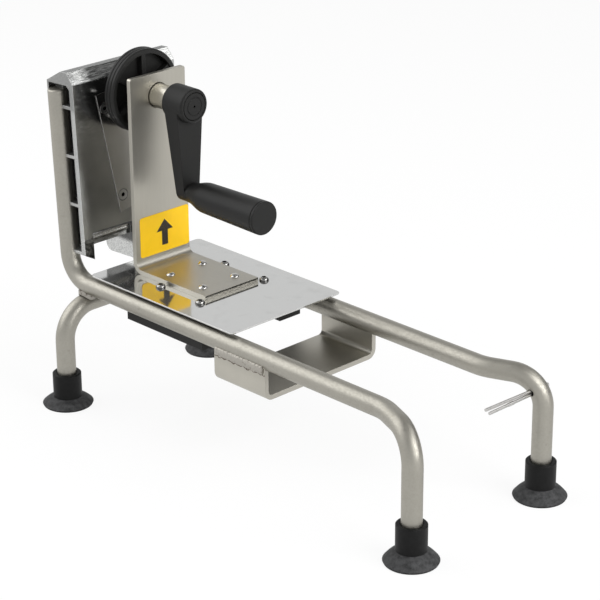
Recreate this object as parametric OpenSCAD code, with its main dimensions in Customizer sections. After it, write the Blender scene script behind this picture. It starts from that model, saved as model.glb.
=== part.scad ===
// Spiral vegetable slicer. A bent tube frame stands on suction feet and carries a cast
// head with the blade. A carriage slides on the rails, and its crank turns the vegetable.
// X runs along the rails towards the front legs, Y across, Z up from the table.
// Left is -Y and right is +Y, as the user sees them from the front legs.

/* [Frame tubes] */
// Outside diameter of the frame tubes
tube_d = 16; // [14:0.5:17]
// Wall of the frame tubes
tube_wall = 1.5; // [1:0.25:2.5]
// Distance between the rail axes
rail_spacing = 107.5; // [100:0.5:116]
// Height of the rail axes above the table
rail_z = 100.5; // [92:0.5:116]
// Distance from the rear leg axes to the front leg axes
leg_base = 388.5; // [370:0.5:420]
// Distance between the front leg axes
front_leg_spacing = 144; // [136:0.5:156]
// Distance between the rear leg axes
rear_leg_spacing = 159; // [150:0.5:172]
// How far behind the front legs each rail turns outward
kink_back = 45; // [43:0.5:52]
// Bend radius of the outward kink
kink_bend_r = 35; // [26:1:40]
// Bend radius from rail to front leg
front_bend_r = 25; // [20:1:32]
// Bend radius from rail to upright
rear_bend_r = 24; // [20:1:30]
// Bend radius of the rear leg hoop
hoop_bend_r = 28; // [22:1:34]
// How far behind the rear legs the uprights rise
upright_back = 19.5; // [17:0.5:26]
// Backward lean of the uprights, in degrees
upright_lean = 2.8; // [0:0.1:5]
// Length of the uprights above the rail axes
upright_len = 163.5; // [150:0.5:176]
// Thickness of the closed top of each upright
upright_cap = 2; // [1:0.25:4]
// Radius of the rounded edge round each upright's top
upright_edge_r = 1.5; // [0.5:0.25:3]

/* [Suction feet] */
// Diameter of the suction cup
cup_d = 42.5; // [36:0.5:50]
// Height of the cup up to the sleeve
cup_h = 9.8; // [7:0.1:11]
// Thickness of the cup's rim
cup_rim = 1.4; // [1:0.1:2]
// How far the cup's upper face bulges
cup_bulge = 0.8; // [0.2:0.1:1.4]
// Depth of the hollow under the cup
cup_hollow = 4; // [2:0.5:5]
// How much flatter the rear cups are pressed than the front cups
rear_press = 2.5; // [0.5:0.5:3]
// Chamfer of the sleeve's top edges
sleeve_edge = 0.8; // [0.3:0.1:1.2]
// Outside diameter of the foot's sleeve
sleeve_d = 24; // [21:0.5:28]
// Height of the whole foot
foot_h = 31; // [26:0.5:36]
// Height of the socket's floor, where the tube end sits
foot_floor = 10; // [9:0.5:12]

/* [Cross channel] */
// Length of the channel along the rails
channel_len = 57.5; // [40:0.5:80]
// Distance of the channel's middle ahead of the rear legs
channel_ahead = 194.3; // [180:0.1:215]
// Thickness of the channel's sheet
channel_t = 4; // [3:0.1:4.5]
// How far the channel's outer faces stand outside the rail axes
channel_out = 7.2; // [6.6:0.1:7.4]
// Depth of the channel's underside below the rail axes
channel_drop = 32.3; // [28:0.1:38]
// Inside bend radius of the channel
channel_bend_r = 4; // [2:0.5:6]

/* [Welds] */
// Diameter of the weld round the crossing of hoop and rail
hoop_weld_d = 15; // [10:0.5:15.5]
// Height of the weld bead along the channel
bead_h = 8; // [6:0.2:9]
// How far the weld bead bulges from the channel's face
bead_bulge = 2; // [1.2:0.1:2.5]
// Depth of the weld bead's middle below the rail axes
bead_drop = 5.8; // [5:0.1:7]
// Length of the weld bead along the channel
bead_len = 54; // [20:1:56]

/* [Stop pin] */
// Diameter of the pin's wire
pin_wire = 2.5; // [1.8:0.1:2.8]
// How far behind the front leg axes the pin sits
pin_back = 5; // [3:0.5:6]
// Depth of the pin's middle below the rail axes
pin_drop = 12; // [11:0.1:20]
// Gap between the pin's wires where they pass the leg
pin_gap = 0.4; // [0.3:0.1:1.5]
// Gap round the pin's wires in their hole
pin_hole_gap = 0.2; // [0.1:0.05:0.4]
// Reach of the pin's upper wire inside the right front leg's axis
pin_reach = 60.5; // [40:0.5:68]
// How much shorter the pin's lower wire is
pin_short = 4.5; // [0:0.5:8]
// Reach of the pin's loop outside the right front leg's axis
pin_out = 10.5; // [9.5:0.5:14]
// Angle at which the upper wire rises towards its tip
pin_rise = 1.6; // [0.5:0.1:3]
// Bend radius of the upper wire
pin_bend_r = 40; // [20:1:60]
// Distance of the lower wire's crimp inside the leg's axis
crimp_at = 32; // [20:1:40]
// Length of the crimp
crimp_len = 6; // [3:0.5:9]
// How much thicker the crimp is than the wire
crimp_swell = 0.5; // [0.2:0.1:0.8]

/* [Head casting] */
// Width of the head
head_w = 108; // [104:1:122]
// How far the head's middle lies to the right of the rails' middle
head_side = -2; // [-3:0.5:3]
// Gap between tubes and casting
head_fit = 0.1; // [0.05:0.05:0.3]
// Distance from upright axis to the back of the front plate
plate_back = 18.6; // [15:0.1:22]
// Thickness of the front plate
plate_t = 4.8; // [4:0.1:7]
// Height of the front plate's legs above the rail axes, at their outer edge
leg_low = 24.7; // [20:0.1:30]
// How much lower the inner edge of each leg is
leg_slant = 5.3; // [0:0.1:8]
// Width of each leg
leg_w = 9.5; // [8:0.5:14]
// Height of the notch between the legs
notch_top = 40.2; // [34:0.1:46]
// Radius of the front plate's rounded edge above the notch
notch_edge_r = 3; // [1:0.25:3.5]
// Gap between the tubes' tops and the hood
hood_gap = 4.9; // [3:0.1:8]
// Rise of the hood from its underside to its ridge
hood_rise = 10.8; // [9:0.1:14]
// Height of the hood's edges
hood_edge = 1.3; // [1:0.1:2]
// Distance from upright axis to the ridge's rear line
ridge_back = 8.7; // [4:0.1:12]
// Width of the ridge
ridge_w = 7.4; // [4:0.1:9]
// Wall of the hood
hood_wall = 3; // [2:0.25:3.5]
// Thickness of the lip behind the tubes
lip_t = 1.8; // [1.2:0.1:3]
// Height of the lip behind the tubes
lip_h = 8; // [4:0.5:12]
// Number of ribs down each side
rib_count = 4; // [2:1:5]
// Height of the lowest rib above the rail axes
rib_low = 26; // [25.5:0.1:34]
// Distance from rib to rib
rib_pitch = 41.3; // [20:0.1:41.5]
// Thickness of each rib
rib_t = 2.5; // [2:0.1:4]
// Reach of the ribs round the tubes, ahead of the upright axis
rib_wrap = 3; // [1:0.5:6]
// Thickness of the web beside each tube
web_t = 2.5; // [1.5:0.25:3]
// Gap between each web and its tube
web_gap = 0.5; // [0.3:0.1:1]
// Reach of the webs behind the upright axis
web_back = 4; // [0:0.5:7]
// Size of the gusset between hood and front plate
gusset = 3.5; // [2:0.25:5]
// Depth of the beam behind the front plate
beam_depth = 10; // [6:0.5:14]
// Height of the beam
beam_h = 11.5; // [8:0.5:14]
// How far the beam rises above the notch
beam_over = 2; // [1:0.5:4]
// Thickness of the lower fin
fin_t = 6; // [4:0.5:8]
// Reach of the fin behind the upright axis
fin_back = 15.3; // [10:0.1:18]
// Height of the fin's foot above the rail axes
fin_low = 8.2; // [5:0.1:14]
// Radius of the fin's rounded lower corner
fin_r = 7; // [3:0.5:10]
// How far the fin's front lies behind the front plate's face
fin_set_back = 1; // [0.5:0.25:2]
// Height of the fin's toe
toe_h = 4; // [3:0.5:5]
// Reach of the fin's toe ahead of the front plate
toe_len = 3.5; // [2:0.5:4]
// Radius of the hollow above the fin's toe
toe_r = 2; // [1:0.25:2.5]

/* [Blade] */
// Width of the blade plate
blade_plate_w = 50; // [46:0.5:54]
// Height of the blade plate
blade_plate_h = 105; // [100:0.5:108]
// Thickness of the blade plate
blade_plate_t = 2; // [1.5:0.1:2.5]
// Height of the blade plate's middle above the rail axes
blade_plate_up = 109; // [106:0.5:112]
// Slant of the blade plate, in degrees
blade_slant = 9.4; // [0:0.2:11]
// Gap round the blade plate in its pocket
blade_plate_fit = 0.15; // [0.05:0.05:0.3]
// How far the blade plate stands out of its pocket
blade_plate_proud = 0.6; // [0.2:0.1:0.8]
// Sideways distance of the plate screws from the middle
plate_screw_side = 19; // [17:0.5:20]
// Distance of the plate screws above and below the middle
plate_screw_up = 39; // [30:0.5:45]
// Head diameter of the plate screws
plate_screw_head_d = 9; // [7:0.5:10]
// Height of the straight rim on the plate screws' heads
plate_screw_rim = 0.6; // [0.3:0.1:0.9]
// Gap round the plate screws' heads
plate_screw_gap = 0.5; // [0.2:0.1:0.8]
// Shank diameter of the plate screws
plate_screw_d = 4; // [3:0.5:4.5]
// Width of the slicing slot
slot_w = 10; // [9:0.5:11]
// Length of the slicing slot
slot_len = 76; // [66:1:80]
// How far the slot's middle lies to the right of the crank's axis
slot_side = 1; // [0:0.25:2]
// Distance of the slot's upper end below the coring tube
slot_below_core = 2.5; // [2:0.25:6]
// How much wider the casting's window is than the slot, on each side
window_gap = 1; // [0.5:0.25:1.25]
// Width of the slicing blade
blade_w = 13; // [11:0.5:13]
// Thickness of the slicing blade
blade_t = 1.2; // [0.8:0.1:1.4]
// Overhang of the cutting edge over the slot
blade_overhang = 4; // [3:0.5:5]
// Width of the ground bevel on the blade
blade_bevel = 3; // [1.5:0.5:3]
// Distance of the blade screws above and below the blade's middle
blade_screw_up = 28; // [20:1:32]
// Distance of the blade screws from the cutting edge
blade_screw_in = 8.5; // [7.5:0.25:9.5]
// Head diameter of the blade screws
blade_screw_head_d = 5.5; // [4.5:0.5:6]
// Head height of the blade screws
blade_screw_head_h = 1.4; // [1:0.1:1.6]
// Shank diameter of the blade screws
blade_screw_d = 3; // [2:0.5:3.5]
// Depth of the blade screws in the casting
blade_screw_depth = 2.5; // [1.5:0.25:3]
// Gap round the coring tube in the blade plate
core_gap = 0.5; // [0.3:0.1:0.8]
// Outside diameter of the coring tube
core_d = 8; // [6:0.5:8]
// Wall of the coring tube
core_wall = 0.8; // [0.5:0.1:1.2]
// Reach of the coring tube ahead of the front plate
core_out = 5; // [3:0.5:6]

/* [Carriage] */
// Distance from the rear legs to the bracket's front face, at rest
carriage_ahead = 35.6; // [35:0.1:60]
// Length of the carriage plate
sheet_len = 173; // [150:0.5:190]
// Width of the carriage plate
sheet_w = 119.6; // [112:0.1:126]
// How far the carriage plate's middle lies to the right of the rails' middle
sheet_side = 1.4; // [-2:0.1:2]
// Thickness of the carriage plate
sheet_t = 1.2; // [1:0.1:2]
// Corner radius of the carriage plate
sheet_corner_r = 4; // [1:0.5:8]
// How far the carriage plate reaches behind the bracket's front face
sheet_back = 24.8; // [20:0.1:25]
// Height of the carriage plate's underside above the rail axes
sheet_up = 11.1; // [10:0.1:12]
// Length of the guide blocks
guide_len = 92; // [84:1:110]
// Width of the guide blocks
guide_w = 23; // [20:0.5:25]
// Distance of the guide blocks' rear ends ahead of the bracket's front face
guide_ahead = 16; // [8:0.5:24]
// Depth of the guide blocks below the rail axes
guide_drop = 16.2; // [13:0.1:19]
// Gap between rail and guide groove
guide_gap = 0.3; // [0.2:0.05:0.6]
// Sideways distance of the guide screws from the middle
guide_screw_side = 35; // [34.5:0.5:39]
// Distance of the rear guide screws ahead of the bracket's front face
guide_screw_ahead = 37; // [30:0.5:45]
// Distance between the guide screws along the rails
guide_screw_pitch = 48; // [40:0.5:56]
// Head diameter of the guide screws
guide_screw_head_d = 8; // [7:0.5:10]
// Head height of the guide screws
guide_screw_head_h = 3; // [2.8:0.1:5]
// Shank diameter of the guide screws
guide_screw_d = 5; // [4:0.5:6]
// Depth of the guide screws in the blocks
guide_screw_depth = 9; // [6:0.5:14]

/* [Bracket] */
// Width of the bracket
bracket_w = 58; // [52:0.5:60]
// Thickness of the bracket's sheet
bracket_t = 4; // [3:0.5:5]
// Length of the bracket's foot
bracket_foot = 88.5; // [84:0.5:100]
// Height of the bracket above the crank shaft's axis
bracket_h = 18.8; // [14:0.2:28]
// Inside bend radius of the bracket
bracket_bend_r = 6; // [4:0.5:8]
// Corner radius of the bracket's outline
bracket_corner_r = 2; // [1:0.5:4]
// Distance of the rear rivets ahead of the bracket's front face
rivet_ahead = 29; // [20:0.5:34]
// Distance between the rivets along the rails
rivet_pitch = 39.7; // [34:0.1:44]
// Sideways distance of the rivets from the middle
rivet_side = 17.4; // [12:0.1:22]
// Head diameter of the rivets
rivet_head_d = 7.6; // [6:0.2:9]
// Head height of the rivets
rivet_head_h = 2.2; // [1.6:0.1:3]
// Shank diameter of the rivets
rivet_d = 4.5; // [3.5:0.25:5]
// Width of the label
label_w = 53; // [40:0.5:53]
// Height of the label
label_h = 35; // [25:0.5:40]
// Height of the label's lower edge above the carriage plate
label_up = 11.5; // [11.5:0.5:20]
// Thickness of the label
label_t = 0.3; // [0.2:0.05:0.5]
// Corner radius of the label
label_corner_r = 2.5; // [1:0.5:6]

/* [Crank bearing] */
// Height of the crank shaft above the carriage plate
shaft_up = 147.2; // [140:0.1:150]
// Diameter of the crank shaft
shaft_d = 12; // [10:0.5:13]
// Outside diameter of the bearing sleeve
bearing_d = 20; // [19:0.5:22]
// Gap round the sleeve in the bracket
bearing_gap = 0.7; // [0.4:0.1:1]
// Reach of the sleeve ahead of the bracket
bearing_front = 18; // [14:0.5:22]
// Reach of the sleeve behind the bracket
bearing_back = 9.4; // [8:0.2:9.4]
// Diameter of the sleeve's collar behind the bracket
collar_d = 32; // [26:1:36]
// Thickness of the sleeve's collar
collar_t = 3; // [2:0.5:4]
// Wall of the bushes
bush_wall = 2; // [1.5:0.25:2.5]
// Thickness of the bushes' flanges
bush_flange = 1.6; // [1:0.1:2]
// Length of each bush inside the sleeve
bush_len = 9; // [6:0.5:11]
// Radial clearance of shaft and spindle in their bearings
run_fit = 0.05; // [0.02:0.01:0.1]
// End clearance between turning faces
end_gap = 0.4; // [0.3:0.1:0.8]

/* [Holding disc] */
// Diameter of the holding disc
disc_d = 70; // [60:1:80]
// Thickness of the holding disc
disc_t = 10.7; // [9:0.1:11]
// Thickness of the disc's web
disc_web = 3; // [2:0.25:4]
// Thickness of the disc's rim
disc_rim = 4; // [3:0.25:6]
// Chamfer of the disc's edges
disc_edge = 1; // [0.5:0.25:1.5]
// Number of grooves round the disc's rim
rim_grooves = 2; // [1:1:3]
// Width of each rim groove
rim_groove_w = 0.8; // [0.5:0.1:1]
// Depth of each rim groove
rim_groove_depth = 0.6; // [0.3:0.1:1]
// Diameter of the disc's hub
disc_hub_d = 24; // [20:0.5:30]
// Number of spokes on the disc
spoke_count = 6; // [4:1:8]
// Thickness of each spoke
spoke_t = 4; // [2.5:0.25:5]
// How far the spokes lie below the rim
spoke_low = 1.5; // [0.5:0.25:3]
// Number of prongs
prong_count = 6; // [3:1:8]
// Radius of the circle of prongs
prong_circle_r = 27; // [20:0.5:28]
// Diameter of each prong
prong_d = 3.5; // [2.5:0.25:4]
// Reach of the prongs behind the disc
prong_len = 8; // [5:0.5:8]
// Diameter of the centre spike's flange
spike_flange_d = 14; // [13:0.5:20]
// Reach of the centre spike behind the disc
spike_len = 7; // [4:0.5:8]
// Thickness of the centre spike's flange
spike_flange_t = 1.5; // [1:0.25:2.5]
// Gap between the spike's root and the bore of the coring tube
spike_gap = 1; // [0.5:0.25:1.5]

/* [Crank] */
// Distance from shaft axis to grip axis
crank_r = 74; // [66:0.5:82]
// Diameter of the crank's hub
hub_d = 28.5; // [27:0.5:32]
// Length of the crank's hub
hub_len = 24.3; // [22:0.1:28]
// Radius of the hub's rounded front edge
hub_edge_r = 2; // [1:0.25:2.25]
// Chamfer of the hub's rear edge
hub_chamfer = 1; // [0.5:0.25:2]
// Width of the arm at the hub
arm_w_top = 28; // [22:0.5:28]
// Width of the arm at the grip
arm_w_low = 16.5; // [15:0.5:20]
// How far the arm's front lies behind the hub's front
arm_set_back = 6; // [4:0.5:8]
// Depth of the arm at the hub's axis
arm_t_top = 15.5; // [14:0.5:18]
// Depth of the arm at the grip's axis
arm_t_low = 10; // [9:0.5:12]
// Depth of the shaft's socket in the hub
socket_depth = 14; // [10:0.5:15]
// Diameter of the hub cap
cap_d = 22; // [18:0.5:22]
// Gap round the hub cap
cap_gap = 0.6; // [0.3:0.1:0.6]
// Thickness of the hub cap
cap_t = 3; // [2:0.5:4]
// Diameter of the ring groove in the hub cap
cap_ring_d = 15.4; // [10:0.2:16]
// Width of the ring groove in the hub cap
cap_ring_w = 0.8; // [0.5:0.1:1.5]
// Diameter of the small hole in the hub cap
cap_hole_d = 2; // [1:0.25:3]
// Head diameter of the crank bolt
bolt_head_d = 10; // [9:0.5:12]
// Head height of the crank bolt
bolt_head_h = 4; // [3:0.5:4]
// Shank diameter of the crank bolt
bolt_d = 6; // [5:0.5:6]

/* [Grip] */
// Length of the grip
grip_len = 85.5; // [70:0.5:100]
// Diameter of the grip at its root
grip_d_root = 17; // [15.5:0.5:19]
// Diameter of the grip at its swell
grip_d_swell = 25.4; // [20:0.2:26.4]
// Diameter of the grip at its end
grip_d_end = 27.6; // [24:0.2:29]
// Distance of the swell from the root
grip_swell_at = 20; // [14:0.5:30]
// Diameter of the grip's spindle
spindle_d = 8; // [6:0.5:9]
// Diameter of the spindle's head
spindle_head_d = 13; // [11:0.5:14]
// Thickness of the spindle's head
spindle_head_t = 4; // [3:0.5:6]
// Diameter of the end plug's stem
plug_d = 20; // [16:0.5:21]
// Length of the end plug's stem
plug_depth = 4; // [3:0.5:6]
// Thickness of the end plug's rim
plug_rim = 3; // [3:0.25:4]
// Radius of the rounded edge on the end plug
plug_edge_r = 1; // [0.5:0.25:1.75]
// Chamfers along the joint between grip and end plug
plug_chamfer = 0.5; // [0.3:0.1:1]
// Wall of the arm behind the spindle's root
spindle_wall = 1; // [0.5:0.25:2]

/* [Hidden] */
$fn = 64;
far_cut = 400;
cut_past = 1;
// The straights of a bent rod run this far into its bends, which are this much thinner
bend_lap = 0.1;
bend_thin = 0.02;

tube_r = tube_d / 2;
rail_y = rail_spacing / 2;
lean_sin = sin(upright_lean);
lean_cos = cos(upright_lean);

// Head heights run along the uprights from the rail axes
hood_under = upright_len + hood_gap;
hood_ridge = hood_under + hood_rise;
hood_rear = tube_r + head_fit + lip_t;
plate_front = plate_back + plate_t;

// The rear leg axes are placed so that the origin lies under the middle of the object
rear_reach = upright_back + hood_rear * lean_cos + (hood_under + hood_edge) * lean_sin;
front_reach = leg_base + cup_d / 2;
rear_leg_x = (rear_reach - front_reach) / 2;
front_leg_x = rear_leg_x + leg_base;
upright_x = rear_leg_x - upright_back;
channel_x = rear_leg_x + channel_ahead;
hoop_z = rail_z - tube_d;

// Carriage heights and the front face of the bracket
sheet_low = rail_z + sheet_up;
sheet_top = sheet_low + sheet_t;
bracket_x = rear_leg_x + carriage_ahead;
shaft_z = sheet_top + shaft_up;
bracket_top = shaft_up + bracket_h;
bracket_bend_out = bracket_bend_r + bracket_t;

// Stations along the crank shaft
bush_front_x = bracket_x + bearing_front;
hub_x = bush_front_x + bush_flange + end_gap;
hub_front_x = hub_x + hub_len;
bush_rear_x = bracket_x - bracket_t - bearing_back;
disc_front_x = bush_rear_x - bush_flange - end_gap;
disc_rear_x = disc_front_x - disc_t;
bush_d = shaft_d + 2 * (run_fit + bush_wall);
shaft_front_x = hub_x + socket_depth;
arm_front_x = hub_front_x - arm_set_back;
grip_z = shaft_z - crank_r;
grip_x = arm_front_x + end_gap;
spindle_root_x = arm_front_x - arm_t_low + spindle_wall;
grip_end_x = grip_x + grip_len;
plug_face_x = grip_end_x - plug_rim;
plug_seat_x = plug_face_x - plug_depth;
spindle_seat_x = plug_seat_x - spindle_head_t - end_gap;

// The shaft axis meets the front plate at this height along the uprights
core_up = (shaft_z - rail_z) / lean_cos - plate_front * lean_sin / lean_cos;

// The same place in the blade plate's slanted frame, and the slot below it
core_x = (core_up - blade_plate_up) * sin(blade_slant);
core_y = (core_up - blade_plate_up) * cos(blade_slant);
slot_left = core_x + slot_side - slot_w / 2;
slot_high = core_y - core_d / 2 - slot_below_core;
slot_low = slot_high - slot_len;
blade_edge = slot_left + slot_w - blade_overhang;

// Webs beside the tubes, measured from the middle of the rails
web_out = rail_y - tube_r - web_gap;

// Half the distance between the pin's wires
pin_half = (pin_wire + pin_gap) / 2;

// Share of the blade plate's thickness that the plate screws' heads take up
screw_sink = 0.85 * blade_plate_t;
// Share of a screw's or prong's seat that is drilled out
screw_floor = 0.8;
// Number of flats in which a rounded edge or a swell is turned
edge_steps = 5;
swell_steps = 8;

steel = "#b7b2a6";
polished = "#d5d5d3";
cast_metal = "#a9abad";
black_plastic = "#2b2b2a";
rubber = "#343536";

// Directions and bends of a swept rod

function unit(v) = v / norm(v);

function heading(points, i) = unit(points[i + 1] - points[i]);

function turn(points, i) = acos(heading(points, i - 1) * heading(points, i));

function is_end(points, i) = i == 0 || i == len(points) - 1;

function trim(points, bends, i) = is_end(points, i) ? 0 : bends[i - 1] * tan(turn(points, i) / 2) - bend_lap;

// A path made longer at its start and at its end
function stretched(points, at_start, at_end) = [
    for (i = [0 : len(points) - 1])
        i == 0 ? points[0] - at_start * heading(points, 0)
        : i == len(points) - 1 ? points[i] + at_end * heading(points, i - 1)
        : points[i]
];

// Outline points of a rounded front edge of radius e, on a turned piece of radius r that ends at x
function front_edge(x, r, e) = [
    for (i = [0 : edge_steps])
        [x - e + e * sin(90 * i / edge_steps), r - e + e * cos(90 * i / edge_steps)]
];

// Puts its children in a frame with the given axes and origin
module in_frame(x_axis, y_axis, z_axis, origin) {
    multmatrix([
        [x_axis[0], y_axis[0], z_axis[0], origin[0]],
        [x_axis[1], y_axis[1], z_axis[1], origin[1]],
        [x_axis[2], y_axis[2], z_axis[2], origin[2]],
        [0, 0, 0, 1]
    ]) children();
}

// A straight round rod from one point to another
module rod(from, to, d) {
    way = unit(to - from);
    aside = abs(way[2]) > 0.9 ? [0, 1, 0] : [0, 0, 1];
    x_axis = unit(cross(aside, way));
    in_frame(x_axis, cross(way, x_axis), way, from) cylinder(d = d, h = norm(to - from));
}

// A round bend of radius r at a corner, from heading a to heading b, drawn a hair thin
module bend(corner, a, b, r, d) {
    inward = unit(b - a * (a * b));
    angle = acos(a * b);
    start = corner - a * r * tan(angle / 2);
    in_frame(-inward, a, cross(a, inward), start + inward * r)
        rotate_extrude(angle = angle) translate([r, 0]) circle(d = d - 2 * bend_thin);
}

// A round rod along corner points, with one bend radius for each inner corner
module swept_rod(points, bends, d) {
    last = len(points) - 1;
    for (i = [0 : last - 1]) {
        way = heading(points, i);
        rod(points[i] + way * trim(points, bends, i), points[i + 1] - way * trim(points, bends, i + 1), d);
    }
    for (i = [1 : last - 1])
        bend(points[i], heading(points, i - 1), heading(points, i), bends[i - 1], d);
}

// A bent tube, open at its end, and closed at its start if a cap is given
module swept_tube(points, bends, cap = 0) {
    difference() {
        swept_rod(points, bends, tube_d);
        swept_rod(
            stretched(points, cap > 0 ? -cap : cut_past, cut_past),
            bends,
            tube_d - 2 * tube_wall
        );
    }
}

// A cylinder along X from x with length len
module x_rod(x, len, d) {
    translate([x, 0, 0]) rotate([0, 90, 0]) cylinder(d = d, h = len);
}

// A revolved outline of points [distance along X, radius]
module x_turned(points) {
    rotate([0, 90, 0]) rotate_extrude() polygon([for (p = points) [p[1], p[0]]]);
}

// A flat outline with round corners, from its lower left corner
module rounded_sheet(w, h, r) {
    translate([r, 0]) square([w - 2 * r, h]);
    translate([0, r]) square([w, h - 2 * r]);
    for (x = [r, w - r], y = [r, h - r])
        translate([x, y]) circle(r = r);
}

// A cap screw head with a hexagon socket, standing on z = 0, with its shank below
module cap_screw(head_d, head_h, shank_d, shank_len) {
    dome_r = head_d / 3;
    difference() {
        union() {
            rotate_extrude() intersection() {
                square([head_d / 2, head_h]);
                union() {
                    square([head_d / 2, head_h - dome_r]);
                    square([head_d / 2 - dome_r, head_h]);
                    translate([head_d / 2 - dome_r, head_h - dome_r]) circle(r = dome_r);
                }
            }
            translate([0, 0, -shank_len]) cylinder(d = shank_d, h = shank_len);
        }
        translate([0, 0, head_h / 2]) cylinder(d = head_d / 2, h = head_h, $fn = 6);
    }
}

// Frame

function side_path() = [
    [upright_x - upright_len * lean_sin, rail_y, rail_z + upright_len * lean_cos],
    [upright_x, rail_y, rail_z],
    [front_leg_x - kink_back, rail_y, rail_z],
    [front_leg_x, front_leg_spacing / 2, rail_z],
    [front_leg_x, front_leg_spacing / 2, foot_floor]
];

module side_tube() {
    color(steel) difference() {
        swept_tube(side_path(), [rear_bend_r, kink_bend_r, front_bend_r], upright_cap);
        head_frame() translate([0, rail_y, upright_len]) rotate_extrude()
            translate([tube_r - upright_edge_r, -upright_edge_r]) difference() {
                square(upright_edge_r + cut_past);
                circle(r = upright_edge_r);
            }
    }
}

module left_side_tube() {
    mirror([0, 1, 0]) side_tube();
}

module right_side_tube() {
    color(steel) difference() {
        side_tube();
        pin_place() rotate([90, 0, 0])
            cylinder(r = pin_half + pin_wire / 2 + pin_hole_gap, h = tube_d * 2, center = true);
    }
}

module rear_leg_hoop() {
    leg_y = rear_leg_spacing / 2;
    leg_z = foot_floor - rear_press;
    color(steel) swept_tube([
        [rear_leg_x, -leg_y, leg_z],
        [rear_leg_x, -leg_y, hoop_z],
        [rear_leg_x, leg_y, hoop_z],
        [rear_leg_x, leg_y, leg_z]
    ], [hoop_bend_r, hoop_bend_r]);
}

module rails_cut(gap) {
    for (side = [-1, 1])
        translate([0, side * rail_y, rail_z]) x_rod(-far_cut, 2 * far_cut, tube_d + 2 * gap);
}

// Cross section of the channel, with Y across and the rail axes at height 0
module channel_section() {
    half_w = rail_y + channel_out;
    out_r = channel_bend_r + channel_t;
    difference() {
        union() {
            translate([-half_w, -channel_drop + out_r]) square([2 * half_w, channel_drop - out_r]);
            translate([-half_w + out_r, -channel_drop]) square([2 * (half_w - out_r), out_r]);
            for (side = [-1, 1])
                translate([side * (half_w - out_r), -channel_drop + out_r]) circle(r = out_r);
        }
        translate([-half_w + channel_t, -channel_drop + out_r])
            square([2 * (half_w - channel_t), channel_drop]);
        translate([-half_w + out_r, -channel_drop + channel_t]) square([2 * (half_w - out_r), out_r]);
        for (side = [-1, 1])
            translate([side * (half_w - out_r), -channel_drop + out_r]) circle(r = channel_bend_r);
    }
}

module cross_channel() {
    color(steel) difference() {
        translate([channel_x - channel_len / 2, 0, rail_z])
            rotate([90, 0, 90]) linear_extrude(channel_len) channel_section();
        rails_cut(0);
    }
}

// A saddle of weld metal round each crossing of hoop and rail
module hoop_welds() {
    eye_d = 3;
    weld_h = tube_r;
    color(steel) for (side = [-1, 1]) difference() {
        translate([rear_leg_x, side * rail_y, rail_z - tube_r - weld_h / 2]) difference() {
            cylinder(d = hoop_weld_d, h = weld_h);
            translate([0, 0, -cut_past]) cylinder(d = eye_d, h = weld_h + 2 * cut_past);
        }
        rails_cut(0);
        translate([rear_leg_x, 0, hoop_z]) rotate([90, 0, 0])
            cylinder(d = tube_d, h = far_cut, center = true);
    }
}

// A bead in the corner between each rail and the channel's outer face
module channel_welds() {
    bead_r = (bead_h * bead_h / 4 + bead_bulge * bead_bulge) / (2 * bead_bulge);
    face_y = rail_y + channel_out;
    color(steel) for (side = [-1, 1]) difference() {
        translate([channel_x - bead_len / 2, side * (face_y + bead_bulge - bead_r), rail_z - bead_drop])
            x_rod(0, bead_len, 2 * bead_r);
        rails_cut(0);
        translate([channel_x, 0, rail_z]) cube([channel_len, 2 * face_y, 2 * channel_drop], center = true);
    }
}

// Outline point of the cup's bulging upper face, at a share of the way from its rim to the sleeve
function cup_point(share, press) = [
    cup_d / 2 + (sleeve_d - cup_d) / 2 * share,
    cup_rim + (cup_h - press - cup_rim) * share + cup_bulge * sin(180 * share)
];

// A suction foot with a socket for the tube end, its cup pressed flatter by the given amount
module foot(x, y, press) {
    socket_r = tube_r + run_fit;
    sleeve_r = sleeve_d / 2;
    top = foot_h - press;
    floor_z = foot_floor - press;
    color(rubber) translate([x, y, 0]) rotate_extrude() polygon(concat(
        [[cup_d / 2 - 2 * cup_rim, 0], [cup_d / 2 - cup_rim / 2, 0]],
        [for (i = [0 : swell_steps]) cup_point(i / swell_steps, press)],
        [
            [sleeve_r, top - sleeve_edge],
            [sleeve_r - sleeve_edge, top],
            [socket_r + sleeve_edge, top],
            [socket_r, top - sleeve_edge],
            [socket_r, floor_z],
            [0, floor_z],
            [0, cup_hollow],
            [sleeve_r - cup_rim, cup_hollow]
        ]
    ));
}

module front_left_foot() { foot(front_leg_x, -front_leg_spacing / 2, 0); }
module front_right_foot() { foot(front_leg_x, front_leg_spacing / 2, 0); }
module rear_left_foot() { foot(rear_leg_x, -rear_leg_spacing / 2, rear_press); }
module rear_right_foot() { foot(rear_leg_x, rear_leg_spacing / 2, rear_press); }

module pin_place() {
    translate([front_leg_x - pin_back, front_leg_spacing / 2, rail_z - pin_drop]) children();
}

// A hairpin of wire: a loop outside the leg, a rising upper wire and a crimped lower one
module stop_pin() {
    inner_y = -tube_r - pin_wire;
    loop_r = pin_half - pin_gap / 4;
    rise = (pin_reach + inner_y) * tan(pin_rise);
    color(polished) pin_place() {
        swept_rod([
            [0, -pin_reach, pin_half + rise],
            [0, inner_y, pin_half],
            [0, pin_out, pin_half],
            [0, pin_out, -pin_half],
            [0, pin_short - pin_reach, -pin_half]
        ], [pin_bend_r, loop_r, loop_r], pin_wire);
        translate([0, -crimp_at, -pin_half]) rotate([90, 0, 0])
            cylinder(d = pin_wire + crimp_swell, h = crimp_len, center = true);
    }
}

// Head. Its own frame has X ahead of the upright axes and Z up along the uprights.

module head_frame() {
    translate([upright_x, 0, rail_z]) rotate([0, -upright_lean, 0]) children();
}

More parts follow.
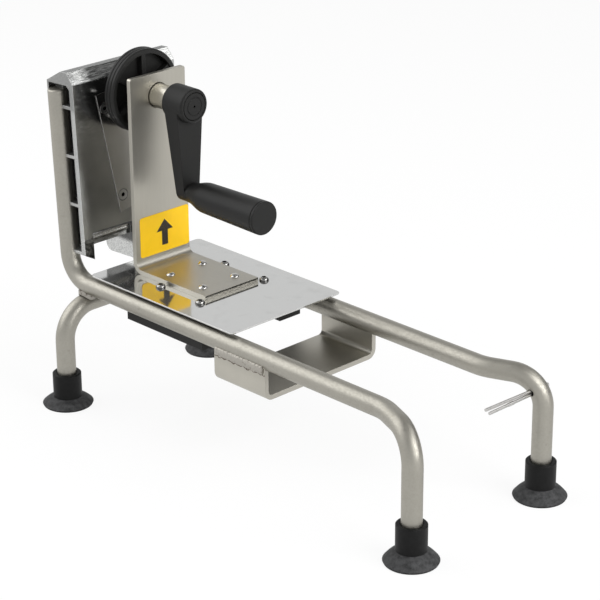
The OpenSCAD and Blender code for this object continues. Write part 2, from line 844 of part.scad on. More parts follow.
// The front plate stands on two legs, with a rounded edge over the notch between them
module front_plate() {
    half = head_w / 2;
    difference() {
        translate([plate_back, 0, 0]) rotate([90, 0, 90]) linear_extrude(plate_t) polygon([
            [-half, leg_low],
            [-half + leg_w, leg_low - leg_slant],
            [-half + leg_w, notch_top],
            [half - leg_w, notch_top],
            [half - leg_w, leg_low - leg_slant],
            [half, leg_low],
            [half, hood_under],
            [-half, hood_under]
        ]);
        along_head(head_w - 2 * leg_w)
            translate([plate_front - notch_edge_r, notch_top + notch_edge_r]) difference() {
                translate([0, -notch_edge_r - cut_past])
                    square([notch_edge_r + cut_past, notch_edge_r + cut_past]);
                circle(r = notch_edge_r);
            }
    }
}

// Outline of the hood across its length, drawn in by an inset
module hood_section(inset) {
    ridge_front = ridge_back + ridge_w;
    edge_top = hood_under + hood_edge;
    rear_rise = (hood_ridge - edge_top) / (ridge_back + hood_rear);
    front_fall = (hood_ridge - edge_top) / (plate_front - ridge_front);
    rear_inset = inset * sqrt(1 + rear_rise * rear_rise);
    front_inset = inset * sqrt(1 + front_fall * front_fall);
    top = hood_ridge - inset;
    rear_low = -hood_rear + (inset > 0 ? (rear_inset + hood_under - edge_top) / rear_rise : 0);
    front_low = inset > 0 ? plate_back : plate_front;
    front_low_z = hood_ridge - front_inset - (front_low - ridge_front) * front_fall;
    polygon([
        [rear_low, hood_under - (inset > 0 ? cut_past : 0)],
        [rear_low, edge_top + (rear_low + hood_rear) * rear_rise - rear_inset],
        [-hood_rear + (top - edge_top + rear_inset) / rear_rise, top],
        [ridge_front + (hood_ridge - front_inset - top) / front_fall, top],
        [front_low, front_low_z],
        [front_low, hood_under - (inset > 0 ? cut_past : 0)]
    ]);
}

module along_head(w) {
    rotate([90, 0, 0]) linear_extrude(w, center = true) children();
}

module hood() {
    end_wall = 2 * hood_wall;
    difference() {
        along_head(head_w) hood_section(0);
        along_head(head_w - 2 * end_wall) hood_section(hood_wall);
    }
    translate([-hood_rear, -head_w / 2, hood_under - lip_h]) cube([lip_t, head_w, lip_h + hood_edge]);
    along_head(head_w) polygon([
        [plate_back - gusset, hood_under],
        [plate_back, hood_under - gusset],
        [plate_back + plate_t / 2, hood_under - gusset],
        [plate_back + plate_t / 2, hood_under]
    ]);
}

// Webs beside the tubes, and ribs from them to the front plate's edges with a saddle for each tube
module webs_and_ribs() {
    web_low = rib_low - rib_t / 2;
    for (side = [-1, 1]) {
        edge_y = side * head_w / 2 + head_side;
        web_y = side * (web_out - web_t / 2);
        translate([-web_back, web_y - web_t / 2, web_low])
            cube([web_back + plate_back, web_t, hood_under - web_low]);
        for (i = [0 : rib_count - 1])
            translate([rib_wrap, min(edge_y, web_y), web_low + i * rib_pitch])
                cube([plate_back - rib_wrap, abs(edge_y - web_y), rib_t]);
    }
}

// Pads under the hood that rest on the tubes' tops
module rest_pads() {
    pad_w = tube_d / 3;
    pad_h = hood_gap + hood_wall;
    for (side = [-1, 1])
        translate([0, side * (rail_y - tube_r + pad_w / 2), upright_len + pad_h / 2])
            cube([tube_r, pad_w, pad_h], center = true);
}

// The beam behind the notch and the fin under it, with a round heel and a toe
module beam_and_fin() {
    fin_front = plate_front - fin_set_back;
    fin_top = notch_top + 2 * notch_edge_r;
    heel_x = -fin_back + fin_r;
    translate([plate_back - beam_depth, -web_out, notch_top + beam_over - beam_h])
        cube([beam_depth, 2 * web_out, beam_h]);
    along_head(fin_t) difference() {
        union() {
            translate([-fin_back, fin_low + fin_r]) square([fin_back + fin_front, fin_top - fin_low - fin_r]);
            translate([heel_x, fin_low]) square([fin_front - heel_x, fin_r]);
            translate([heel_x, fin_low]) square([plate_front + toe_len - heel_x, toe_h]);
            translate([heel_x, fin_low + fin_r]) circle(r = fin_r);
            translate([fin_front, fin_low + toe_h]) square(toe_r);
        }
        translate([fin_front + toe_r, fin_low + toe_h + toe_r]) circle(r = toe_r);
    }
}

// Places children on the blade plate's face, slanted as it is
module on_blade_plate() {
    translate([plate_front + blade_plate_proud, 0, blade_plate_up])
        rotate([blade_slant, 0, 0]) rotate([90, 0, 90]) children();
}

// Two screws hold the blade plate's left side, and the blade's own screws hold its right
module plate_screw_places() {
    for (y = [-1, 1])
        translate([-plate_screw_side, y * plate_screw_up, 0]) children();
}

module blade_screw_places() {
    for (y = [-1, 1])
        translate([blade_edge + blade_screw_in, slot_low + slot_len / 2 + y * blade_screw_up, 0]) children();
}

// Outline of the slicing slot on the blade plate, made larger all round by a margin
module slot_outline(margin) {
    translate([slot_left - margin, slot_low - margin]) square([slot_w + 2 * margin, slot_len + 2 * margin]);
}

// A notch in the blade plate for the coring tube, open at the plate's upper edge
module core_notch_outline() {
    notch_r = core_d / 2 + core_gap;
    translate([core_x, core_y]) {
        circle(r = notch_r);
        translate([-notch_r, 0]) square([2 * notch_r, blade_plate_h]);
    }
}

// Places children on the crank's axis, with X = 0 on the front plate's face
module on_core() {
    translate([plate_front, 0, core_up]) rotate([0, upright_lean, 0]) children();
}

module core_cut(d) {
    on_core() x_rod(-far_cut / 2, far_cut, d);
}

module head_casting() {
    color(cast_metal) head_frame() difference() {
        union() {
            translate([0, head_side, 0]) {
                front_plate();
                hood();
            }
            webs_and_ribs();
            rest_pads();
            beam_and_fin();
        }
        for (side = [-1, 1])
            translate([0, side * rail_y, 0]) cylinder(d = tube_d + 2 * head_fit, h = upright_len);
        on_blade_plate() {
            translate([0, 0, -blade_plate_t]) linear_extrude(plate_t) square([
                blade_plate_w + 2 * blade_plate_fit,
                blade_plate_h + 2 * blade_plate_fit
            ], center = true);
            translate([0, 0, -2 * plate_t]) linear_extrude(2 * plate_t) slot_outline(window_gap);
            plate_screw_places() translate([0, 0, -2 * plate_t]) cylinder(d = plate_screw_d, h = 2 * plate_t);
            blade_screw_places() translate([0, 0, -2 * plate_t]) cylinder(d = blade_screw_d, h = 2 * plate_t);
        }
        core_cut(core_d);
    }
}

module blade_plate() {
    seat_h = screw_sink - plate_screw_rim;
    color(polished) head_frame() on_blade_plate() difference() {
        translate([0, 0, -blade_plate_t]) linear_extrude(blade_plate_t) difference() {
            square([blade_plate_w, blade_plate_h], center = true);
            slot_outline(0);
            core_notch_outline();
        }
        plate_screw_places() {
            translate([0, 0, -plate_t]) cylinder(d = plate_screw_d, h = 2 * plate_t);
            translate([0, 0, -screw_sink]) cylinder(d1 = plate_screw_d, d2 = plate_screw_head_d, h = seat_h);
            translate([0, 0, -plate_screw_rim])
                cylinder(d = plate_screw_head_d + 2 * plate_screw_gap, h = plate_t);
        }
        blade_screw_places() translate([0, 0, -plate_t]) cylinder(d = blade_screw_d, h = 2 * plate_t);
    }
}

// Countersunk screws with a straight rim, flush with the blade plate
module plate_screws() {
    seat_h = screw_sink - plate_screw_rim;
    color(steel) head_frame() on_blade_plate() plate_screw_places() difference() {
        union() {
            translate([0, 0, -plate_screw_rim]) cylinder(d = plate_screw_head_d, h = plate_screw_rim);
            translate([0, 0, -screw_sink]) cylinder(d1 = plate_screw_d, d2 = plate_screw_head_d, h = seat_h);
            translate([0, 0, -plate_t]) cylinder(d = plate_screw_d, h = plate_t - screw_sink);
        }
        translate([0, 0, -screw_sink * screw_floor]) cylinder(d = plate_screw_d, h = screw_sink, $fn = 6);
    }
}

// A flat blade with a ground edge that overhangs the slot
module slicing_blade() {
    color(polished) head_frame() on_blade_plate() difference() {
        translate([blade_edge, slot_high, 0]) rotate([90, 0, 0]) linear_extrude(slot_len) polygon([
            [0, 0],
            [blade_w, 0],
            [blade_w, blade_t],
            [blade_bevel, blade_t]
        ]);
        blade_screw_places() translate([0, 0, -plate_t]) cylinder(d = blade_screw_d, h = 2 * plate_t);
    }
}

module blade_screws() {
    shank = blade_t + blade_plate_t + blade_screw_depth;
    color(steel) head_frame() on_blade_plate() blade_screw_places() translate([0, 0, blade_t])
        cap_screw(blade_screw_head_d, blade_screw_head_h, blade_screw_d, shank);
}

// A thin tube on the crank's axis, sharpened at its front end
module coring_tube() {
    rear_x = -plate_t - core_out;
    color(polished) head_frame() on_core() x_turned([
        [rear_x, core_d / 2 - core_wall],
        [rear_x, core_d / 2],
        [core_out / 2, core_d / 2],
        [core_out, core_d / 2 - core_wall]
    ]);
}

// Carriage

module carriage_plate() {
    color(polished) difference() {
        translate([bracket_x - sheet_back, sheet_side - sheet_w / 2, sheet_low])
            linear_extrude(sheet_t) rounded_sheet(sheet_len, sheet_w, sheet_corner_r);
        rivet_places() translate([0, 0, -bracket_t]) cylinder(d = rivet_d, h = 2 * bracket_t);
        guide_screw_places() translate([0, 0, -2 * sheet_t]) cylinder(d = guide_screw_d, h = 3 * sheet_t);
    }
}

module rivet_places() {
    for (i = [0, 1], side = [-1, 1])
        translate([bracket_x + rivet_ahead + i * rivet_pitch, side * rivet_side, sheet_top]) children();
}

module guide_screw_places(sides = [-1, 1]) {
    for (i = [0, 1], side = sides)
        translate([bracket_x + guide_screw_ahead + i * guide_screw_pitch, side * guide_screw_side, sheet_top])
            children();
}

// A guide block with a half round groove for the rail
module guide(side) {
    color(black_plastic) difference() {
        translate([bracket_x + guide_ahead, side * (rail_y - guide_w / 2) - guide_w / 2, rail_z - guide_drop])
            cube([guide_len, guide_w, guide_drop + sheet_up]);
        rails_cut(guide_gap);
        guide_screw_places([side]) translate([0, 0, -sheet_t - guide_screw_depth])
            cylinder(d = guide_screw_d, h = guide_screw_depth + sheet_t);
    }
}

module left_guide() { guide(-1); }
module right_guide() { guide(1); }

module guide_screws() {
    color(polished) guide_screw_places()
        cap_screw(guide_screw_head_d, guide_screw_head_h, guide_screw_d, sheet_t + guide_screw_depth);
}

// Side view of the bracket: foot, bend and upright, with the bend's heel at the origin
module bracket_section() {
    translate([bracket_bend_out, 0]) square([bracket_foot - bracket_bend_out, bracket_t]);
    translate([0, bracket_bend_out]) square([bracket_t, bracket_top - bracket_bend_out]);
    intersection() {
        square(bracket_bend_out);
        translate([bracket_bend_out, bracket_bend_out]) difference() {
            circle(r = bracket_bend_out);
            circle(r = bracket_bend_r);
        }
    }
}

module carriage_bracket() {
    heel_x = bracket_x - bracket_t;
    color(steel) difference() {
        intersection() {
            translate([heel_x, 0, sheet_top]) along_head(bracket_w) bracket_section();
            translate([heel_x - cut_past, -bracket_w / 2, sheet_top - bracket_corner_r]) rotate([90, 0, 90])
                linear_extrude(bracket_foot + 2 * cut_past)
                    rounded_sheet(bracket_w, bracket_top + bracket_corner_r, bracket_corner_r);
        }
        rivet_places() translate([0, 0, -cut_past]) cylinder(d = rivet_d, h = bracket_t + 2 * cut_past);
        on_shaft() x_rod(heel_x - cut_past, bracket_t + 2 * cut_past, bearing_d + 2 * bearing_gap);
    }
}

// Rivets with a low dome on the foot and a flush tail under the carriage plate
module bracket_rivets() {
    dome_r = (rivet_head_d * rivet_head_d / 4 + rivet_head_h * rivet_head_h) / (2 * rivet_head_h);
    color(polished) rivet_places() {
        translate([0, 0, bracket_t]) rotate_extrude() intersection() {
            square([rivet_head_d, rivet_head_h]);
            translate([0, rivet_head_h - dome_r]) circle(r = dome_r);
        }
        translate([0, 0, -sheet_t]) cylinder(d = rivet_d, h = sheet_t + bracket_t);
    }
}

module push_label() {
    color("#f2c01c") translate([bracket_x, bracket_w / 2 - label_w - label_t, sheet_top + label_up])
        rotate([90, 0, 90]) linear_extrude(label_t) rounded_sheet(label_w, label_h, label_corner_r);
}

// Crank bearing

module on_shaft() {
    translate([0, 0, shaft_z]) children();
}

module bearing_sleeve() {
    color(steel) on_shaft() difference() {
        union() {
            x_rod(bush_rear_x, bush_front_x - bush_rear_x, bearing_d);
            x_rod(bracket_x - bracket_t - collar_t, collar_t, collar_d);
        }
        x_rod(bush_rear_x - cut_past, bush_front_x - bush_rear_x + 2 * cut_past, bush_d);
    }
}

// A flanged bush whose flange stands off the sleeve's end in the given direction
module bush(end_x, outward) {
    color(black_plastic) on_shaft() difference() {
        union() {
            x_rod(min(end_x, end_x - outward * bush_len), bush_len, bush_d);
            x_rod(min(end_x, end_x + outward * bush_flange), bush_flange, bearing_d);
        }
        x_rod(end_x - 2 * bush_len, 4 * bush_len, shaft_d + 2 * run_fit);
    }
}

module front_bush() { bush(bush_front_x, 1); }
module rear_bush() { bush(bush_rear_x, -1); }

// Crank

module drive_shaft() {
    disc_end_x = disc_rear_x + disc_web;
    color(steel) on_shaft() difference() {
        x_rod(disc_end_x, shaft_front_x - disc_end_x, shaft_d);
        x_rod(shaft_front_x - 2 * bolt_d, 3 * bolt_d, bolt_d);
        x_rod(disc_end_x - bolt_d, 3 * bolt_d, bolt_d);
    }
}

// A spoked disc, open towards the bracket, with its web on the vegetable's side
module holding_disc() {
    rim_in_r = disc_d / 2 - disc_rim;
    spoke_root = (shaft_d + disc_hub_d) / 4;
    spoke_len = rim_in_r + disc_rim / 2 - spoke_root;
    color(black_plastic) on_shaft() difference() {
        union() {
            x_turned([
                [disc_rear_x, 0],
                [disc_rear_x, disc_d / 2 - disc_edge],
                [disc_rear_x + disc_edge, disc_d / 2],
                [disc_front_x - disc_edge, disc_d / 2],
                [disc_front_x, disc_d / 2 - disc_edge],
                [disc_front_x, rim_in_r],
                [disc_rear_x + disc_web, rim_in_r],
                [disc_rear_x + disc_web, disc_hub_d / 2],
                [disc_front_x, disc_hub_d / 2],
                [disc_front_x, 0]
            ]);
            for (i = [0 : spoke_count - 1])
                rotate([i * 360 / spoke_count, 0, 0])
                    translate([disc_rear_x + disc_web / 2, -spoke_t / 2, spoke_root])
                        cube([disc_t - disc_web / 2 - spoke_low, spoke_t, spoke_len]);
        }
        x_rod(disc_rear_x + disc_web, disc_t, shaft_d);
        x_rod(disc_rear_x - cut_past, disc_t, bolt_d);
        prong_places() x_rod(disc_rear_x - cut_past, disc_web + cut_past - screw_floor, prong_d);
        for (i = [1 : rim_grooves]) rim_groove(disc_rear_x + disc_t * i / (rim_grooves + 1));
    }
}

// The cut for one groove round the disc's rim, with its middle at x
module rim_groove(x) {
    difference() {
        x_rod(x - rim_groove_w / 2, rim_groove_w, 2 * disc_d);
        x_rod(x - rim_groove_w, 2 * rim_groove_w, disc_d - 2 * rim_groove_depth);
    }
}

module prong_places() {
    for (i = [0 : prong_count - 1])
        rotate([(i + 0.5) * 360 / prong_count, 0, 0]) translate([0, 0, prong_circle_r]) children();
}

// Steel prongs set in the disc, each with a long point
module disc_prongs() {
    seat_x = disc_rear_x + disc_web - screw_floor;
    color(polished) on_shaft() prong_places() x_turned([
        [seat_x, 0],
        [seat_x, prong_d / 2],
        [disc_rear_x - prong_len / 3, prong_d / 2],
        [disc_rear_x - prong_len, 0]
    ]);
}

// The spike's flange clamps the disc on the shaft
module centre_spike() {
    flange_x = disc_rear_x - spike_flange_t;
    color(polished) on_shaft() x_turned([
        [disc_rear_x + disc_web + bolt_d, 0],
        [disc_rear_x + disc_web + bolt_d, bolt_d / 2],
        [disc_rear_x, bolt_d / 2],
        [disc_rear_x, spike_flange_d / 2],
        [flange_x, spike_flange_d / 2],
        [flange_x, core_d / 2 - core_wall - spike_gap],
        [disc_rear_x - spike_len, 0]
    ]);
}

// Front view of the arm between hub and grip, hanging straight down
module arm_outline() {
    polygon([
        [-arm_w_top / 2, 0],
        [-arm_w_low / 2, -crank_r],
        [arm_w_low / 2, -crank_r],
        [arm_w_top / 2, 0]
    ]);
    circle(d = arm_w_top);
    translate([0, -crank_r]) circle(d = arm_w_low);
}

module crank_arm() {
    taper = atan((arm_t_top - arm_t_low) / crank_r);
    color(black_plastic) on_shaft() difference() {
        union() {
            x_turned(concat(
                [[hub_x, 0], [hub_x, hub_d / 2 - hub_chamfer], [hub_x + hub_chamfer, hub_d / 2]],
                front_edge(hub_front_x, hub_d / 2, hub_edge_r),
                [[hub_front_x, 0]]
            ));
            difference() {
                translate([arm_front_x - arm_t_top, 0, 0]) rotate([90, 0, 90])
                    linear_extrude(arm_t_top) arm_outline();
                translate([arm_front_x - arm_t_top, 0, 0]) rotate([0, -taper, 0])
                    translate([-far_cut, -far_cut / 2, -far_cut]) cube([far_cut, far_cut, 2 * far_cut]);
            }
        }
        x_rod(hub_x - cut_past, socket_depth + cut_past, shaft_d);
        x_rod(hub_x, hub_len, bolt_d);
        x_rod(hub_front_x - cap_t - bolt_head_h, hub_len, bolt_head_d);
        x_rod(hub_front_x - cap_t, hub_len, cap_d + 2 * cap_gap);
        translate([0, 0, -crank_r]) x_rod(spindle_root_x, hub_len, spindle_d);
    }
}

module crank_bolt() {
    head_x = hub_front_x - cap_t - bolt_head_h;
    color(steel) on_shaft() translate([head_x, 0, 0]) rotate([0, 90, 0])
        cap_screw(bolt_head_d, bolt_head_h, bolt_d, head_x - shaft_front_x + 2 * bolt_d);
}

module hub_cap() {
    color(black_plastic) on_shaft() difference() {
        x_rod(hub_front_x - cap_t, cap_t, cap_d);
        x_rod(hub_front_x - cap_t - cut_past, cap_t + 2 * cut_past, cap_hole_d);
        difference() {
            x_rod(hub_front_x - cap_ring_w / 2, cap_ring_w, cap_ring_d);
            x_rod(hub_front_x - cap_ring_w, 2 * cap_ring_w, cap_ring_d - 2 * cap_ring_w);
        }
    }
}

// Grip

module on_grip() {
    translate([0, 0, grip_z]) children();
}

// The spindle is fixed in the arm, and its head keeps the grip on
module grip_spindle() {
    color(steel) on_grip() {
        x_rod(spindle_root_x, spindle_seat_x - spindle_root_x, spindle_d);
        x_rod(spindle_seat_x, spindle_head_t, spindle_head_d);
    }
}

// Radius of the grip at a share of the way from the root to the swell
function grip_root_r(share) = (grip_d_root + (grip_d_swell - grip_d_root) * (1 - cos(180 * share)) / 2) / 2;

module grip() {
    color(black_plastic) on_grip() difference() {
        x_turned(concat(
            [[grip_x, 0]],
            [for (i = [0 : swell_steps])
                [grip_x + grip_swell_at * i / swell_steps, grip_root_r(i / swell_steps)]],
            [
                [plug_face_x - plug_chamfer, grip_d_end / 2],
                [plug_face_x, grip_d_end / 2 - plug_chamfer],
                [plug_face_x, 0]
            ]
        ));
        x_rod(grip_x - cut_past, grip_len + 2 * cut_past, spindle_d + 2 * run_fit);
        x_rod(spindle_seat_x - end_gap, grip_len, spindle_head_d + 2 * end_gap);
        x_rod(plug_seat_x, grip_len, plug_d);
    }
}

// The end plug's rim is as wide as the grip, and its stem sits in the grip's bore
module grip_plug() {
    color(black_plastic) on_grip() x_turned(concat(
        [
            [plug_seat_x, 0],
            [plug_seat_x, plug_d / 2],
            [plug_face_x, plug_d / 2],
            [plug_face_x, grip_d_end / 2 - plug_chamfer],
            [plug_face_x + plug_chamfer, grip_d_end / 2]
        ],
        front_edge(grip_end_x, grip_d_end / 2, plug_edge_r),
        [[grip_end_x, 0]]
    ));
}

left_side_tube();
right_side_tube();
rear_leg_hoop();
cross_channel();
hoop_welds();
channel_welds();
front_left_foot();
front_right_foot();
rear_left_foot();
rear_right_foot();
stop_pin();
head_casting();
blade_plate();
plate_screws();
slicing_blade();
blade_screws();
coring_tube();
carriage_plate();
left_guide();
right_guide();
guide_screws();
carriage_bracket();
bracket_rivets();
push_label();
bearing_sleeve();
front_bush();
rear_bush();
drive_shaft();
holding_disc();
disc_prongs();
centre_spike();
crank_arm();
crank_bolt();
hub_cap();
grip_spindle();
grip();
grip_plug();
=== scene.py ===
"""Looks of a spiral vegetable slicer, laid out as an add-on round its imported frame."""

import math

import bpy
from bpy.props import FloatProperty, FloatVectorProperty, IntProperty, PointerProperty
from mathutils import Matrix, Vector


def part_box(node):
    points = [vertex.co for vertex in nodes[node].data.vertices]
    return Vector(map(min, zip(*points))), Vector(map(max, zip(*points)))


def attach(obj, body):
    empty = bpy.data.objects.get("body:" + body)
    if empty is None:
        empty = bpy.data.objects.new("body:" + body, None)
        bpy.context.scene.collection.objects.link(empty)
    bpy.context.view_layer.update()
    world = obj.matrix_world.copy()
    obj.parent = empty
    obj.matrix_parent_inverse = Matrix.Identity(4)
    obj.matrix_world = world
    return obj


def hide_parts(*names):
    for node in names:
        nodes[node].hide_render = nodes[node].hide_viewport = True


bl_info = {
    "name": "Spiral vegetable slicer",
    "version": (1, 0, 0),
    "blender": (4, 5, 0),
    "location": "3D View > Sidebar > Slicer",
    "description": "Dresses the packed slicer with its finishes, its welds and a studio",
    "category": "Object",
}

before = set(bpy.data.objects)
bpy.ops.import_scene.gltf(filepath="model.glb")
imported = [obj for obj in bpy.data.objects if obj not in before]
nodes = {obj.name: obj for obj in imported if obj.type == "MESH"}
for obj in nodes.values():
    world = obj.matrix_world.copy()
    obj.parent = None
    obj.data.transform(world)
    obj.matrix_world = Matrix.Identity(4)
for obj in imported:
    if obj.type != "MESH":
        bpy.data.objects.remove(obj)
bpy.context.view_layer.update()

MM = 0.001
HEAD_LEAN = math.radians(2.8)
TUBES = ("left_side_tube", "right_side_tube", "rear_leg_hoop")
FEET = ("front_left_foot", "front_right_foot", "rear_left_foot", "rear_right_foot")


# Shader wires and finishes

class Wire:
    """A shader socket. Arithmetic on it adds Math nodes to its finish."""

    def __init__(self, finish, socket):
        self.finish = finish
        self.socket = socket

    def calc(self, operation, first, second):
        return self.finish.node("ShaderNodeMath", {"operation": operation}, {0: first, 1: second})

    def __add__(self, other):
        return self.calc("ADD", self, other)

    def __radd__(self, other):
        return self.calc("ADD", other, self)

    def __sub__(self, other):
        return self.calc("SUBTRACT", self, other)

    def __rsub__(self, other):
        return self.calc("SUBTRACT", other, self)

    def __mul__(self, other):
        return self.calc("MULTIPLY", self, other)

    def __rmul__(self, other):
        return self.calc("MULTIPLY", other, self)

    def __abs__(self):
        return self.calc("ABSOLUTE", self, 0.0)

    def lesser(self, other):
        return self.calc("MINIMUM", self, other)

    def greater(self, other):
        return self.calc("MAXIMUM", self, other)


class Finish:
    """A node tree of a material or world that is put together from wires."""

    def __init__(self, owner):
        owner.use_nodes = True
        self.owner = owner
        self.tree = owner.node_tree
        self.tree.nodes.clear()

    def node(self, kind, settings, sockets, output=0):
        """Adds a node, sets it up, then fills or links its sockets."""
        made = self.tree.nodes.new(kind)
        for name, value in settings.items():
            setattr(made, name, value)
        for name, value in sockets.items():
            if isinstance(value, Wire):
                self.tree.links.new(value.socket, made.inputs[name])
            else:
                made.inputs[name].default_value = value
        return Wire(self, made.outputs[output]) if made.outputs else None

    def place(self):
        return self.node("ShaderNodeTexCoord", {}, {}, "Object")

    def axis(self, letter):
        """One coordinate of the surface point, in metres."""
        return self.node("ShaderNodeSeparateXYZ", {}, {0: self.place()}, letter)

    def facing(self, direction):
        """How far the surface faces a direction, from -1 to 1."""
        normal = self.node("ShaderNodeTexCoord", {}, {}, "Normal")
        sockets = {0: normal, 1: direction}
        return self.node("ShaderNodeVectorMath", {"operation": "DOT_PRODUCT"}, sockets, "Value")

    def noise(self, size, detail=2.0, stretch=(1, 1, 1)):
        """Soft noise with blots of about this size in metres, drawn out along the axes by stretch."""
        scale = [1 / (size * share) for share in stretch]
        spread = self.node("ShaderNodeMapping", {}, {"Vector": self.place(), "Scale": scale})
        return self.node("ShaderNodeTexNoise", {}, {"Vector": spread, "Scale": 1.0, "Detail": detail})

    def fade(self, value, low, high):
        """A smooth step from 0 at low to 1 at high."""
        sockets = {"Value": value, "From Min": low, "From Max": high}
        return self.node("ShaderNodeMapRange", {"interpolation_type": "SMOOTHSTEP"}, sockets)

    def mix(self, share, first, second):
        return self.node("ShaderNodeMix", {"data_type": "RGBA"}, {0: share, 6: first, 7: second}, 2)

    def rounded(self, radius):
        """A normal that rounds the edges off."""
        return self.node("ShaderNodeBevel", {"samples": 4}, {"Radius": radius})

    def edges(self, radius):
        """How near an edge lies, from 0 on a flat to about 0.3 on a square edge."""
        flat = self.node("ShaderNodeNewGeometry", {}, {}, "Normal")
        sockets = {0: flat, 1: self.rounded(radius)}
        return 1 - self.node("ShaderNodeVectorMath", {"operation": "DOT_PRODUCT"}, sockets, "Value")

    def wear_and_highlight_edges(self, tone, radius, share, colour, full=0.25):
        """Mixes a share of a colour into the tone along the edges, all of it where edges reaches full:
        edge wear with a painted highlight.
        """
        return self.mix(self.fade(self.edges(radius), 0.02, full) * share, tone, colour)

    def bump(self, height, depth, normal):
        sockets = {"Strength": 1.0, "Distance": depth, "Height": height, "Normal": normal}
        return self.node("ShaderNodeBump", {}, sockets)

    def close(self, colour, roughness, normal, fixed):
        """Ends the material with its shader, whose fixed sockets are the same all over."""
        sockets = {"Base Color": colour, "Roughness": roughness, "Normal": normal, **fixed}
        shader = self.node("ShaderNodeBsdfPrincipled", {}, sockets)
        self.node("ShaderNodeOutputMaterial", {}, {"Surface": shader})
        return self.owner


def new_finish(name):
    return Finish(bpy.data.materials.new(name))


def shade(colour, factor):
    """A colour made lighter or darker."""
    return [min(1.0, part * factor) for part in colour[:3]] + [1.0]


def dress(material, *names):
    """Gives CAD nodes a finish in place of their plain one."""
    for name in names:
        for slot in nodes[name].material_slots:
            slot.material = material


# Finishes of steel, cast metal, plastic and rubber

def satin_steel(name, colour, roughness):
    """Steel with a fine satin grain, faint cloudy marks and bright edges, worn and with a painted
    highlight.
    """
    made = new_finish(name)
    cloud = made.noise(18 * MM, 3.0)
    grain = made.noise(0.5 * MM, 2.0)
    marks = made.fade(made.noise(5 * MM, 4.0), 0.62, 0.75)
    tone = made.mix(cloud, shade(colour, 0.9), shade(colour, 1.08))
    tone = made.mix(marks * 0.35, tone, shade(colour, 0.7))
    # Lighter edges: wear with a painted highlight
    tone = made.wear_and_highlight_edges(tone, 0.5 * MM, 0.6, shade(colour, 1.15))
    mottle = made.fade(made.noise(1.8 * MM, 4.0), 0.3, 0.7)
    rough = roughness - 0.13 + cloud * 0.08 + grain * 0.05 + mottle * 0.14
    normal = made.bump(grain, 0.02 * MM, made.rounded(0.4 * MM))
    return made.close(tone, rough, normal, {"Metallic": 1.0})


def polished_steel(name, colour, roughness, drawn=(14, 1, 14)):
    """Bright steel with lighter edges, worn and with a painted highlight, and fine scratches that are
    drawn out along the axes.
    """
    made = new_finish(name)
    cloud = made.noise(9 * MM, 3.0)
    scratch = made.noise(0.3 * MM, 1.0, drawn)
    tone = made.mix(cloud, shade(colour, 0.88), shade(colour, 1.05))
    # Lighter edges: wear with a painted highlight
    tone = made.wear_and_highlight_edges(tone, 0.3 * MM, 0.5, shade(colour, 1.25))
    rough = roughness + cloud * 0.05
    normal = made.bump(scratch, 0.004 * MM, made.rounded(0.25 * MM))
    return made.close(tone, rough, normal, {"Metallic": 1.0})


def moulded_plastic(name, colour, roughness):
    """Black plastic with a fine moulded grain, a little dust and paler edges, worn and with a painted
    highlight.
    """
    made = new_finish(name)
    cloud = made.noise(12 * MM, 3.0)
    grain = made.noise(0.45 * MM, 2.0)
    dust = made.fade(made.noise(2.2 * MM, 5.0), 0.6, 0.82)
    tone = made.mix(cloud, shade(colour, 0.85), shade(colour, 1.15))
    tone = made.mix(dust * 0.25, tone, shade(colour, 2.2))
    # Paler edges: wear with a painted highlight
    tone = made.wear_and_highlight_edges(tone, 0.6 * MM, 0.5, shade(colour, 2.0), 0.3)
    rough = roughness - 0.05 + cloud * 0.08 + grain * 0.06
    normal = made.bump(grain, 0.03 * MM, made.rounded(0.7 * MM))
    return made.close(tone, rough, normal, {"Specular IOR Level": 0.22})


# Settings

class SlicerSteel(bpy.types.PropertyGroup):
    """Colours and gloss of the metal finishes."""
    satin: FloatVectorProperty(
        name="Satin steel", description="Colour of tubes, channel, bracket and sleeve",
        subtype="COLOR", default=(0.375, 0.36, 0.318), min=0, max=1)
    mirror: FloatVectorProperty(
        name="Mirror steel", description="Colour of the carriage plate",
        subtype="COLOR", default=(0.61, 0.61, 0.60), min=0, max=1)
    bright: FloatVectorProperty(
        name="Bright steel", description="Colour of blade set, prongs, screws, rivets and pin",
        subtype="COLOR", default=(0.72, 0.71, 0.69), min=0, max=1)
    cast: FloatVectorProperty(
        name="Cast metal", description="Colour of the head casting",
        subtype="COLOR", default=(0.60, 0.605, 0.595), min=0, max=1)
    weld: FloatVectorProperty(
        name="Weld metal", description="Colour of the weld beads",
        subtype="COLOR", default=(0.42, 0.40, 0.36), min=0, max=1)
    # The weld burn colour also paints the shade under the channel beads.
    burn: FloatVectorProperty(
        name="Weld burn", description="Colour of the dark line beside a weld",
        subtype="COLOR", default=(0.085, 0.062, 0.048), min=0, max=1)
    satin_roughness: FloatProperty(
        name="Satin roughness", description="Roughness of the satin steel",
        subtype="FACTOR", default=0.46, min=0, max=1)
    mirror_roughness: FloatProperty(
        name="Mirror roughness", description="Roughness of the carriage plate",
        subtype="FACTOR", default=0.07, min=0, max=1)


class SlicerPlastic(bpy.types.PropertyGroup):
    """Colours of plastic, rubber and label."""
    black: FloatVectorProperty(
        name="Black plastic", description="Colour of crank, grip, disc and guides",
        subtype="COLOR", default=(0.011, 0.011, 0.0105), min=0, max=1)
    rubber: FloatVectorProperty(
        name="Rubber", description="Colour of the suction feet",
        subtype="COLOR", default=(0.004, 0.004, 0.004), min=0, max=1)
    # The dust colour stands for dust and for a painted sheen on the cups.
    dust: FloatVectorProperty(
        name="Dust", description="Colour of the dust on the suction cups",
        subtype="COLOR", default=(0.082, 0.083, 0.085), min=0, max=1)
    label: FloatVectorProperty(
        name="Label", description="Colour of the label's film",
        subtype="COLOR", default=(0.93, 0.57, 0.013), min=0, max=1)
    ink: FloatVectorProperty(
        name="Label ink", description="Colour of the arrow on the label",
        subtype="COLOR", default=(0.03, 0.026, 0.022), min=0, max=1)


